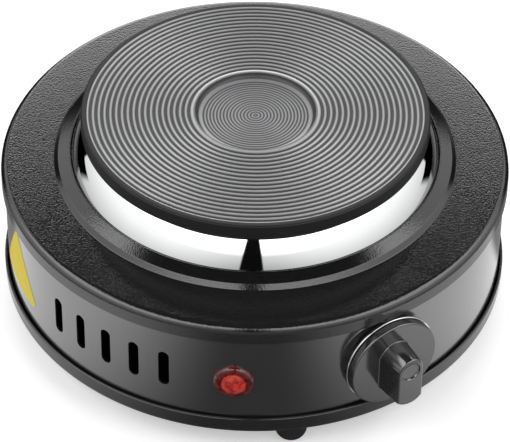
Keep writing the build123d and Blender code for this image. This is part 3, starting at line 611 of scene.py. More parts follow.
@dataclass(frozen=True)
class FilmLabel(Finish):
    """Plain coloured film."""

    colour: Colour = (0.72, 0.58, 0.013, 1.0)
    rubbed: Colour = (0.66, 0.52, 0.012, 1.0)
    rub_scale: float = 260.0
    relief: float = 0.008
    rough: float = 0.45
    rough_by_rub: float = 0.15
    ior: float = 1.35

    def mix(self, recipe: Recipe) -> None:
        """An even film, a little less glossy where it has been rubbed.

        Args:
            recipe: The node tree to fill.
        """
        rubs = recipe.noise(recipe.place(), self.rub_scale)
        recipe.surface(
            Base_Color=recipe.mixed(rubs, self.colour, self.rubbed),
            Roughness=self.rough + rubs * self.rough_by_rub,
            IOR=self.ior,
            Normal=recipe.bumped(rubs, self.relief),
        )


JET_BLACK: Colour = (0.008, 0.008, 0.0083, 1.0)
SOOT_BLACK: Colour = (0.012, 0.012, 0.012, 1.0)

ENAMEL = StoveEnamel("pebbled_black_enamel", Slot.ENAMEL)
SATIN = SatinPaint("satin_black_paint", Slot.SATIN)
CAST = CastIron("ridged_cast_plate", Slot.CAST)
CHROME = Chrome("bright_chrome_plate", Slot.CHROME)
KNOB_PLASTIC = Moulded("satin_knob_plastic", Slot.KNOB, colour=JET_BLACK, rough=0.08, ior=2.2)
RED_LENS = TintedClear(
    "faceted_red_lens", Slot.RED_LENS, colour=(0.62, 0.045, 0.022, 1.0), glow=0.08
)
RED_RIM = TintedClear(
    "clear_lamp_rim",
    Slot.CLEAR_RIM,
    colour=(0.13, 0.015, 0.013, 1.0),
    deep=(0.05, 0.004, 0.004, 1.0),
    transmission=0.3,
)
NEON = TintedClear(
    "neon_tube_glass",
    Slot.NEON,
    colour=(0.9, 0.75, 0.65, 1.0),
    deep=(0.8, 0.5, 0.35, 1.0),
    transmission=0.7,
)
RUBBER = Moulded("matt_black_rubber", Slot.RUBBER, colour=SOOT_BLACK, rough=0.5)
GLAND = Moulded("black_polyamide", Slot.GLAND, colour=SOOT_BLACK, rough=0.37)
SLEEVE = Moulded("white_silicone_sleeve", Slot.SLEEVE, colour=(0.6, 0.58, 0.53, 1.0), rough=0.45)
ZINC = Metal("zinc_plated_steel", Slot.ZINC)
BRASS = Metal("turned_brass", Slot.BRASS, colour=(0.78, 0.58, 0.27, 1.0), rough=0.25)
BRONZE = Metal("spring_bronze_strip", Slot.BRONZE, colour=(0.72, 0.45, 0.26, 1.0), rough=0.28)
RESISTANCE = Metal(
    "resistance_ribbon_alloy", Slot.RESISTANCE, colour=(0.4, 0.38, 0.36, 1.0), rough=0.3
)
STEATITE = Mineral("white_steatite", Slot.STEATITE)
MICA = Mineral(
    "brown_mica",
    Slot.MICA,
    colour=(0.5, 0.4, 0.27, 1.0),
    fleck=(0.3, 0.22, 0.14, 1.0),
    rough=0.25,
)
FIBRE = Mineral(
    "pressed_fibre",
    Slot.FIBRE,
    colour=(0.7, 0.68, 0.62, 1.0),
    fleck=(0.5, 0.48, 0.42, 1.0),
    rough=0.8,
)
YELLOW_FILM = FilmLabel("plain_yellow_film", Slot.SATIN)

FINISH_OF_SLOT = {
    finish.slot: finish
    for finish in (
        ENAMEL, SATIN, CAST, CHROME, KNOB_PLASTIC, RED_LENS, RED_RIM, RUBBER, GLAND,
        ZINC, BRASS, BRONZE, RESISTANCE, STEATITE, MICA, FIBRE, NEON, SLEEVE,
    )
}  # fmt: skip


# ---- drawing ------------------------------------------------------------------------------------
def around(radius: float, turn: float, height: float) -> Vector:
    """The point at a distance from the plate's axis, an azimuth in radians and a height."""
    return Vector((radius * math.sin(turn), -radius * math.cos(turn), height))


@dataclass(frozen=True)
class Spot:
    """A place on the side wall: its azimuth in degrees, and its height above the ground."""

    azimuth: float
    height: float

    def station(self) -> Matrix:
        """The frame of what sits at this spot.

        Returns:
            The matrix from (right, up, outwards) to the part's frame, in millimetres.
        """
        turn = math.radians(self.azimuth)
        right = Vector((math.cos(turn), math.sin(turn), 0))
        upwards = Vector((0, 0, 1))
        frame = Matrix((right, upwards, around(1.0, turn, 0))).transposed().to_4x4()
        frame.translation = Vector((0, 0, self.height))
        return frame


LAMP_SPOT = Spot(-4.0, 28.0)
KNOB_SPOT = Spot(31.0, 28.9)
GLAND_SPOT = Spot(180.0, 28.0)


def arc(centre: Point, radius: float, start: float, end: float, steps: int) -> list[Point]:
    """Points on an arc.

    Args:
        centre: Middle of the arc.
        radius: Its radius.
        start: Angle of the first point, in degrees.
        end: Angle of the last point.
        steps: Number of equal chords.

    Returns:
        The steps + 1 points.
    """
    turns = [math.radians(start + (end - start) * step / steps) for step in range(steps + 1)]
    x, y = centre
    return [(x + radius * math.cos(turn), y + radius * math.sin(turn)) for turn in turns]


def between(here: Point, there: Point, count: int) -> list[Point]:
    """Evenly spaced points strictly between two others.

    Args:
        here: The point before the first.
        there: The point after the last.
        count: Number of points.

    Returns:
        The points, in order.
    """
    (x, y), (far_x, far_y) = here, there
    shares = [number / (count + 1) for number in range(1, count + 1)]
    return [(x + (far_x - x) * share, y + (far_y - y) * share) for share in shares]


def rounded_corner(
    before: Corner, corner: Corner, after: Corner, radius: float, steps: int
) -> list[Point]:
    """Points of the arc that rounds one corner.

    Args:
        before: The corner before it.
        corner: The corner itself.
        after: The corner after it.
        radius: Radius of the rounding.
        steps: Number of chords.

    Returns:
        The points from the first tangent point to the last.
    """
    here = Vector(corner[:2])
    towards = (Vector(before[:2]) - here).normalized()
    onwards = (Vector(after[:2]) - here).normalized()
    half = towards.angle(onwards) / 2
    centre = here + (towards + onwards).normalized() * (radius / math.sin(half))
    start = here + towards * (radius / math.tan(half)) - centre
    end = here + onwards * (radius / math.tan(half)) - centre
    sweep = start.angle_signed(end)
    points = []
    for step in range(steps + 1):
        spoke = start.copy()
        spoke.rotate(Matrix.Rotation(-sweep * step / steps, 2))
        points.append((centre.x + spoke.x, centre.y + spoke.y))
    return points


def outline(corners: Sequence[Corner], steps: int = 6) -> list[Point]:
    """The points of a closed outline.

    Args:
        corners: (x, y) corners. One with a third value is rounded to that radius.
        steps: Chords in each rounding.

    Returns:
        The outline's points, in order.
    """
    points: list[Point] = []
    for number, corner in enumerate(corners):
        if len(corner) < 3:
            points.append((corner[0], corner[1]))
        else:
            after = corners[(number + 1) % len(corners)]
            points += rounded_corner(corners[number - 1], corner, after, corner[2], steps)
    return points


def even_turns(count: int, start: float = 0.0) -> list[float]:
    """Equal turns in radians once round, the first of them at start steps."""
    return [2 * math.pi * (number + start) / count for number in range(count)]


def ring(radius: float, height: float, turns: Sequence[float], rise: float = 0.0) -> list[Vector]:
    """Points on a circle about an upright axis, whose middle lies at y = rise."""
    return [Vector((radius * math.cos(t), rise + radius * math.sin(t), height)) for t in turns]


def skin(loops: Sequence[Sequence[Vector]], closed: bool = False) -> bmesh.types.BMesh:
    """Joins loops of equal length into one surface.

    Args:
        loops: The loops, in order. A loop of one point is a tip.
        closed: Whether the last loop joins the first again.

    Returns:
        The surface.
    """
    mesh = bmesh.new()
    rows = [[mesh.verts.new(point) for point in loop] for loop in loops]
    for low, high in zip(rows, rows[1:] + rows[:1] if closed else rows[1:]):
        count = max(len(low), len(high))
        for number in range(count if count > 1 else 0):
            after = (number + 1) % count
            corners = [
                low[number % len(low)], low[after % len(low)],
                high[after % len(high)], high[number % len(high)],
            ]  # fmt: skip
            mesh.faces.new(list(dict.fromkeys(corners)))
    bmesh.ops.recalc_face_normals(mesh, faces=mesh.faces)
    return mesh


def capped(mesh: bmesh.types.BMesh) -> bmesh.types.BMesh:
    """Closes a surface's open ends.

    Args:
        mesh: The surface, which is changed.

    Returns:
        The same surface.
    """
    bmesh.ops.holes_fill(mesh, edges=[edge for edge in mesh.edges if edge.is_boundary])
    bmesh.ops.recalc_face_normals(mesh, faces=mesh.faces)
    return mesh


def lathe(
    path: Sequence[Point], segments: int = 256, place: Matrix | None = None
) -> bmesh.types.BMesh:
    """Turns a closed outline about the Z axis of a place.

    Args:
        path: The outline as (radius, height). It may start and end on the axis.
        segments: Facets round the axis.
        place: Where its axis stands. The plate's axis if left out.

    Returns:
        The turned surface, in millimetres.
    """
    where = place or Matrix.Identity(4)
    turns = even_turns(segments)
    loops = []
    for radius, height in path:
        spots = ring(radius, height, turns[:1] if radius < ON_AXIS else turns)
        loops.append([where @ spot for spot in spots])
    solid = path[0][0] < ON_AXIS and path[-1][0] < ON_AXIS
    return skin(loops, closed=not solid)


def seat(
    mesh: bmesh.types.BMesh, flat: float, wall_radius: float, beyond: float = 0.0
) -> bmesh.types.BMesh:
    """Fits the flat back of a turned piece to the curved wall behind it.

    Args:
        mesh: The piece, still about its own axis, which is changed.
        flat: Distance of its flat back from the plate's axis.
        wall_radius: Radius of the wall.
        beyond: Radius inside which the back is left as it is.

    Returns:
        The same piece.
    """
    for corner in mesh.verts:
        x, y, z = corner.co
        if abs(z - flat) < TOUCH and math.hypot(x, y) > beyond - TOUCH:
            corner.co.z = math.sqrt(wall_radius**2 - x**2) + GAP
    return mesh


def joined(meshes: Iterable[bmesh.types.BMesh]) -> bmesh.types.BMesh:
    """Makes one surface of several.

    Args:
        meshes: The surfaces, which are used up.

    Returns:
        All of them as one.
    """
    whole = bmesh.new()
    for mesh in meshes:
        part = bpy.data.meshes.new("part")
        mesh.to_mesh(part)
        mesh.free()
        whole.from_mesh(part)
        bpy.data.meshes.remove(part)
    return whole


def placed(name: str, data: bpy.types.ID) -> bpy.types.Object:
    """Puts a new object into the scene.

    Args:
        name: Its name.
        data: Its mesh, lamp or camera.

    Returns:
        The object.
    """
    made = bpy.data.objects.new(name, data)
    bpy.context.scene.collection.objects.link(made)
    return made


def mesh_object(name: str, mesh: bmesh.types.BMesh) -> bpy.types.Object:
    """Puts a mesh into the scene.

    Args:
        name: The object's name.
        mesh: Its surface in metres, which is used up.

    Returns:
        The object, not yet tied to anything.
    """
    data = bpy.data.meshes.new(name)
    mesh.to_mesh(data)
    mesh.free()
    return placed(name, data)


class Workshop:
    """Makes the burner's pieces and ties each to its body, slot and CAD nodes."""

    def __init__(self, frame: dict) -> None:
        """Holds the loaded frame."""
        self.frame = frame

    def blank(self, name: str, mesh: bmesh.types.BMesh) -> bpy.types.Object:
        """An object from a mesh in millimetres, not yet tied to anything."""
        mesh.transform(Matrix.Scale(MM, 4))
        return mesh_object(name, mesh)

    def piece(
        self,
        name: str,
        mesh: bmesh.types.BMesh,
        finish: Finish,
        body: Body = Body.HOUSING,
        replaces: Sequence[str] = (),
        sharp: float = 35.0,
        cutters: Sequence[bpy.types.Object] = (),
    ) -> bpy.types.Object:
        """Makes one finished piece.

        Args:
            name: The piece's name.
            mesh: Its surface, in millimetres.
            finish: Its finish.
            body: The body that it moves with.
            replaces: CAD nodes that it stands for.
            sharp: Angle in degrees above which an edge stays sharp.
            cutters: Objects that are cut out of it and then removed.

        Returns:
            The object.
        """
        made = self.blank(name, mesh)
        if cutters:
            self._cut(made, cutters)
        made.data.materials.clear()
        made.data.materials.append(finish.material())
        made.data.shade_smooth()
        made.data.set_sharp_from_angle(angle=math.radians(sharp))
        even = made.modifiers.new("even_shading", "WEIGHTED_NORMAL")
        even.keep_sharp = True
        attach(made, body.value)
        if replaces:
            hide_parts(*replaces)
        log.info("%s: %d faces, %s", name, len(made.data.polygons), finish.name)
        return made

    @staticmethod
    def _cut(made: bpy.types.Object, cutters: Sequence[bpy.types.Object]) -> None:
        """Takes the cutters out of an object for good.

        Args:
            made: The object.
            cutters: What is cut out of it. They are removed.
        """
        for cutter in cutters:
            tool = made.modifiers.new("cut", "BOOLEAN")
            tool.operation = "DIFFERENCE"
            tool.solver = "EXACT"
            tool.object = cutter
        bpy.context.view_layer.update()
        evaluated = made.evaluated_get(bpy.context.evaluated_depsgraph_get())
        shaped = bpy.data.meshes.new_from_object(evaluated)
        made.modifiers.clear()
        old, made.data = made.data, shaped
        bpy.data.meshes.remove(old)
        made.data.name = made.name
        for cutter in cutters:
            bpy.data.objects.remove(cutter)

    def dress_nodes(self) -> None:
        """Gives every CAD node the finish of its slot in the record."""
        slots = {part["node"]: part["material_slot"] for part in self.frame["record"]["subparts"]}
        for name, node in self.frame["nodes"].items():
            finish = FINISH_OF_SLOT[Slot(slots[name])]
            for material_slot in node.material_slots:
                material_slot.material = finish.material()
        log.info("%d CAD nodes dressed", len(slots))


class SubAssembly(ABC):
    """A group of pieces that is made in one go."""

    @abstractmethod
    def build(self, shop: Workshop) -> None:
        """Makes the group's pieces in the workshop."""


# ---- the housing's sheet metal ------------------------------------------------------------------
@dataclass
class TopCover(SubAssembly):
    """Pressed cover: skirt, rolled rim, flat ring, step and sloping band round the opening."""

    sheet: float = 0.8
    outer_radius: float = 73.4
    skirt_foot: float = 43.05
    top: float = 48.75
    rim_bend: float = 2.1
    step_outer: float = 58.1
    step_inner: float = 56.95
    band_foot: float = 50.2
    opening_radius: float = 53.3
    opening_height: float = 51.8
    slant: float = 1.09
    fold_shift: float = 0.39
    fold_lift: float = 0.17
    outer_fold: float = 0.35
    inner_fold: float = 0.3
    opening_edge: float = 0.3
    foot_edge: float = 0.25
    hidden_edge: float = 0.2

    def profile(self) -> list[Corner]:
        """The cover's section.

        Returns:
            Its corners, from the opening's underside outwards and back.
        """
        under = self.sheet * self.slant
        inner_radius = self.outer_radius - self.sheet
        inner_top = self.top - self.sheet
        band_under = self.band_foot - under + self.fold_lift
        return [
            (self.opening_radius, self.opening_height - under, self.hidden_edge),
            (self.opening_radius, self.opening_height, self.opening_edge),
            (self.step_inner, self.band_foot, self.outer_fold),
            (self.step_outer, self.top, self.outer_fold),
            (self.outer_radius, self.top, self.rim_bend),
            (self.outer_radius, self.skirt_foot, self.foot_edge),
            (inner_radius, self.skirt_foot, self.hidden_edge),
            (inner_radius, inner_top, self.rim_bend - self.sheet),
            (self.step_outer - self.fold_shift, inner_top, self.inner_fold),
            (self.step_inner - self.fold_shift, band_under, self.inner_fold),
        ]

    def build(self, shop: Workshop) -> None:
        """Turns the cover's section."""
        mesh = lathe(outline(self.profile(), steps=7), segments=320)
        shop.piece("pressed_top_cover", mesh, ENAMEL, replaces=["top_cover"], sharp=50)


@dataclass
class BasePan(SubAssembly):
    """Shallow pressed pan with its rolled lip."""

    sheet: float = 0.8
    foot: float = 8.3
    outer_radius: float = 73.7
    lip_top: float = 14.1
    bend: float = 2.2
    outer_edge: float = 0.35
    inner_edge: float = 0.3

    def build(self, shop: Workshop) -> None:
        """Turns the pan's section.

        Args:
            shop: The workshop that makes the piece.
        """
        inner = self.outer_radius - self.sheet
        corners = [
            (0.0, self.foot),
            (self.outer_radius, self.foot, self.bend),
            (self.outer_radius, self.lip_top, self.outer_edge),
            (inner, self.lip_top, self.inner_edge),
            (inner, self.foot + self.sheet, self.bend - self.sheet),
            (0.0, self.foot + self.sheet),
        ]
        mesh = lathe(outline(corners, steps=7), segments=320)
        shop.piece("pressed_base_pan", mesh, ENAMEL, replaces=["base_pan"], sharp=50)


@dataclass
class SideWall(SubAssembly):
    """Rolled band with its vent slots and holes, open at the rear where the panel sits."""

    outer_radius: float = 72.5
    sheet: float = 0.8
    foot: float = 10.15
    top: float = 46.6
    rear_gap: float = 44.0
    facets: int = 336
    slot_count: int = 5
    slot_middle: float = -34.4
    slot_pitch: float = 7.3
    slot_width: float = 3.2
    slot_length: float = 12.4
    slot_height: float = 28.5
    holes: tuple[tuple[Spot, float], ...] = ((LAMP_SPOT, 4.6), (KNOB_SPOT, 4.05))
    hole_facets: int = 48
    punch_inwards: float = 4.0
    punch_outwards: float = 3.0
    facing: float = 0.97

    def band(self) -> bmesh.types.BMesh:
        """The plain band, as an open strip with thickness.

        Returns:
            Its surface.
        """
        half = 180.0 - self.rear_gap / 2
        outer, inner = self.outer_radius, self.outer_radius - self.sheet
        section = [(outer, self.foot), (outer, self.top), (inner, self.top), (inner, self.foot)]
        loops = []
        for number in range(self.facets + 1):
            turn = math.radians(-half + 2 * half * number / self.facets)
            loops.append([around(radius, turn, height) for radius, height in section])
        return capped(skin(loops))

    def punch(self, shop: Workshop, spot: Spot, path: Sequence[Point]) -> bpy.types.Object:
        """Makes a cutter that goes through the wall.

        Args:
            shop: The workshop that makes it.
            spot: Its place on the wall.
            path: Its outline there.

        Returns:
            The cutter.
        """
        place = spot.station()
        depths = (self.outer_radius - self.punch_inwards, self.outer_radius + self.punch_outwards)
        loops = [[place @ Vector((x, y, depth)) for x, y in path] for depth in depths]
        return shop.blank("punch", capped(skin(loops)))

    def punches(self, shop: Workshop) -> list[bpy.types.Object]:
        """Makes the cutters for the slots and for the lamp's and spindle's holes.

        Args:
            shop: The workshop that makes them.

        Returns:
            The cutters.
        """
        end = self.slot_width / 2
        reach = self.slot_length / 2 - end
        upper = arc((0, reach), end, 0, 180, steps=12)
        stadium = upper + arc((0, -reach), end, 180, 360, steps=12)
        cutters = []
        for number in range(self.slot_count):
            azimuth = self.slot_middle + self.slot_pitch * (number - self.slot_count // 2)
            cutters.append(self.punch(shop, Spot(azimuth, self.slot_height), stadium))
        last_turn = 360 - 360 / self.hole_facets
        for spot, radius in self.holes:
            circle = arc((0, 0), radius, 0, last_turn, steps=self.hole_facets - 1)
            cutters.append(self.punch(shop, spot, circle))
        return cutters

    def shade_round(self, made: bpy.types.Object) -> None:
        """Shades the faces that follow the cylinder as truly round.

        Args:
            made: The wall.
        """
        data = made.data
        normals: list[Vector] = [Vector()] * len(data.loops)
        for face in data.polygons:
            for index in face.loop_indices:
                spot = data.vertices[data.loops[index].vertex_index].co
                outwards = Vector((spot.x, spot.y, 0)).normalized()
                along = face.normal.dot(outwards)
                if abs(along) > self.facing:
                    normals[index] = outwards * math.copysign(1.0, along)
                else:
                    normals[index] = face.normal.copy()
        data.normals_split_custom_set([tuple(normal) for normal in normals])

    def build(self, shop: Workshop) -> None:
        """Cuts the band and gives its faces the cylinder's own normals.

        Args:
            shop: The workshop that makes the piece.
        """
        made = shop.piece(
            "rolled_side_wall",
            self.band(),
            SATIN,
            replaces=["side_wall"],
            sharp=30,
            cutters=self.punches(shop),
        )
        made.modifiers.clear()
        self.shade_round(made)


@dataclass
class YellowLabel(SubAssembly):
    """Plain film triangle, rounded at its corners, stuck to the wall left of the slots."""

    azimuth: float = -68.6
    top: float = 41.0
    foot: float = 21.0
    half_width: float = 13.4
    corner: float = 1.6
    tip_above_top: float = 1.2
    wall_radius: float = 72.5
    film: float = 0.08
    rings: int = 10
    spacing: float = 2.0

    def edge(self) -> list[Point]:
        """The triangle's outline.

        Returns:
            Its points as (distance round the wall, height), no further apart than the spacing.
        """
        tip = self.top + self.tip_above_top
        corners = [
            (-self.half_width, self.foot, self.corner),
            (self.half_width, self.foot, self.corner),
            (0.0, tip, self.corner),
        ]
        path = outline(corners, steps=5)
        points: list[Point] = []
        for here, there in zip(path, path[1:] + path[:1]):
            runs = max(1, math.ceil(math.dist(here, there) / self.spacing))
            points += [here] + between(here, there, runs - 1)
        return points

    def laid(self, along: float, height: float, lift: float) -> Vector:
        """A point laid on the wall.

        Args:
            along: Distance round the wall from the label's middle.
            height: Height above the ground.
            lift: Distance off the wall.

        Returns:
            The point.
        """
        turn = math.radians(self.azimuth) + along / self.wall_radius
        return around(self.wall_radius + lift, turn, height)

    def build(self, shop: Workshop) -> None:
        """Lays rings of the triangle's outline on the wall, then closes its back.

        Args:
            shop: The workshop that makes the piece.
        """
        middle = self.foot + (self.top - self.foot) / 3
        edge = self.edge()
        loops = [[self.laid(0.0, middle, self.film)]]
        for number in range(1, self.rings + 1):
            share = number / self.rings
            heights = [middle + (z - middle) * share for _, z in edge]
            loops.append([self.laid(x * share, h, self.film) for (x, _), h in zip(edge, heights)])
        loops.append([self.laid(x, z, GAP) for x, z in edge])
        loops.append([self.laid(0.0, middle, GAP)])
        shop.piece("blank_yellow_label", skin(loops), YELLOW_FILM, sharp=30)


# ---- plate and collar ---------------------------------------------------------------------------
@dataclass
class HeatingPlate(SubAssembly):
    """Cast plate with its turned ridges, recessed middle and smooth rim."""

    radius: float = 50.0
    top: float = 65.0
    rim_foot: float = 60.6
    top_edge: float = 0.55
    foot_edge: float = 0.45
    flat_start: float = 48.5
    ridge_start: float = 18.3
    ridge_count: int = 18
    ridge_pitch: float = 1.655
    ridge_depth: float = 0.45
    ridge_roundness: float = 0.8
    ridge_steps: int = 8
    recess_radius: float = 17.3
    recess_depth: float = 1.8
    recess_land: float = 0.12
    hollow_end: float = -4.0
    inner_pitch: float = 0.965
    inner_count: int = 16
    inner_depth: float = 0.17
    inner_steps: int = 6
    skirt_outer: float = 43.5
    skirt_inner: float = 40.5
    skirt_foot: float = 54.0
    chamber_top: float = 59.0
    boss_radius: float = 7.0
    boss_foot: float = 56.4
    stud_radius: float = 3.0
    stud_top: float = 62.6

    @staticmethod
    def wave(number: int, steps: int) -> float:
        """A wave from 0 to 1 and back in the given number of steps."""
        return 0.5 - 0.5 * math.cos(2 * math.pi * number / steps)

    def recess_path(self) -> list[Point]:
        """The recessed middle.

        Returns:
            Its fine rings from the axis outwards, then the hollow up to the first ridge.
        """
        floor = self.top - self.recess_depth
        path = []
        for number in range(self.inner_count * self.inner_steps + 1):
            radius = self.inner_pitch * number / self.inner_steps
            path.append((radius, floor - self.inner_depth * self.wave(number, self.inner_steps)))
        centre = (self.recess_radius - self.recess_depth, self.top)
        return path + arc(centre, self.recess_depth, -90, self.hollow_end, steps=8)

    def ridge_path(self) -> list[Point]:
        """The ridges.

        Returns:
            Their points from the recess out to the edge.
        """
        path = [(self.recess_radius + self.recess_land, self.top)]
        for number in range(self.ridge_count * self.ridge_steps + 1):
            radius = self.ridge_start + self.ridge_pitch * number / self.ridge_steps
            cut = self.wave(number, self.ridge_steps) ** self.ridge_roundness
            path.append((radius, self.top - self.ridge_depth * cut))
        return path

    def underside(self) -> list[Corner]:
        """The rim and the element's chamber, from the top edge down and inwards."""
        return [
            (self.radius, self.top, self.top_edge),
            (self.radius, self.rim_foot, self.foot_edge),
            (self.skirt_outer, self.rim_foot),
            (self.skirt_outer, self.skirt_foot),
            (self.skirt_inner, self.skirt_foot),
            (self.skirt_inner, self.chamber_top),
            (self.boss_radius, self.chamber_top),
            (self.boss_radius, self.boss_foot),
            (self.stud_radius, self.boss_foot),
            (self.stud_radius, self.stud_top),
            (0.0, self.stud_top),
        ]

    def build(self, shop: Workshop) -> None:
        """Turns the whole casting.

        Args:
            shop: The workshop that makes the piece.
        """
        below = outline([(self.flat_start, self.top)] + self.underside())[1:]
        mesh = lathe(self.recess_path() + self.ridge_path() + below, segments=288)
        shop.piece("turned_heating_plate", mesh, CAST, replaces=["heating_plate"], sharp=40)


@dataclass
class ReflectorCollar(SubAssembly):
    """Polished collar that rises from under the cover's band to the plate's rim."""

    foot_radius: float = 53.25
    top_radius: float = 46.0
    top_height: float = 60.3
    bulge: float = 22.0
    sheet: float = 0.5
    flange_radius: float = 56.4
    opening_radius: float = 53.3
    opening_height: float = 51.8
    slope: float = 1.6 / 3.65
    cover_sheet: float = 0.85

    def flange_height(self, radius: float) -> float:
        """Height of the flange's top at a radius."""
        under_cover = self.opening_height - self.cover_sheet * math.hypot(1, self.slope)
        return under_cover - self.slope * (radius - self.opening_radius)

    def build(self, shop: Workshop) -> None:
        """Turns the collar's section: rounded face, thickness and flange.

        Args:
            shop: The workshop that makes the piece.
        """
        foot = Vector((self.foot_radius, self.flange_height(self.foot_radius)))
        top = Vector((self.top_radius, self.top_height))
        chord = top - foot
        away = Vector((-chord.y, chord.x)).normalized()
        reach = math.sqrt(self.bulge**2 - (chord.length / 2) ** 2)
        centre = (foot + top) / 2 + away * reach
        start, end = (
            math.degrees(math.atan2(spot.y - centre.y, spot.x - centre.x)) for spot in (foot, top)
        )
        face = arc((centre.x, centre.y), self.bulge, start, end, steps=20)
        back = arc((centre.x, centre.y), self.bulge - self.sheet, end, start, steps=20)
        drop = self.sheet * math.hypot(1, self.slope)
        inner, outer = back[-1][0], self.flange_radius
        flange = [
            (inner, self.flange_height(inner) - drop),
            (outer, self.flange_height(outer) - drop),
            (outer, self.flange_height(outer)),
        ]
        mesh = lathe(face + back + flange, segments=320)
        shop.piece("polished_collar", mesh, CHROME, replaces=["reflector_collar"], sharp=40)


# ---- knob and lamp ------------------------------------------------------------------------------
@dataclass
class KnobBezel(SubAssembly):
    """Bright ring behind the knob, its back fitted to the wall."""

    spot: Spot = KNOB_SPOT
    wall_radius: float = 72.5
    radius: float = 14.0
    hole: float = 7.3
    face: float = 74.0
    back: float = 70.0
    bead: float = 1.4
    dish: float = 0.6
    undercut: float = 2.4
    undercut_end: float = 0.55
    undercut_edge: float = 0.3
    face_edge: float = 0.22
    bead_edge: float = 0.3
    dish_bend: float = 0.6

    def build(self, shop: Workshop) -> None:
        """Turns the ring about the knob's axis, with its back on the curved wall.

        Args:
            shop: The workshop that makes the piece.
        """
        corners = [
            (self.hole, self.back),
            (self.radius - self.undercut, self.back),
            (self.radius, self.face - self.undercut_end, self.undercut_edge),
            (self.radius, self.face, self.face_edge),
            (self.radius - self.bead, self.face, self.bead_edge),
            (self.radius - 2 * self.bead, self.face - self.dish, self.dish_bend),
            (self.hole, self.face - self.dish),
        ]
        mesh = seat(lathe(outline(corners), segments=160), self.back, self.wall_radius)
        mesh.transform(self.spot.station())
        shop.piece("bright_knob_bezel", mesh, CHROME, replaces=["knob_bezel"], sharp=40)


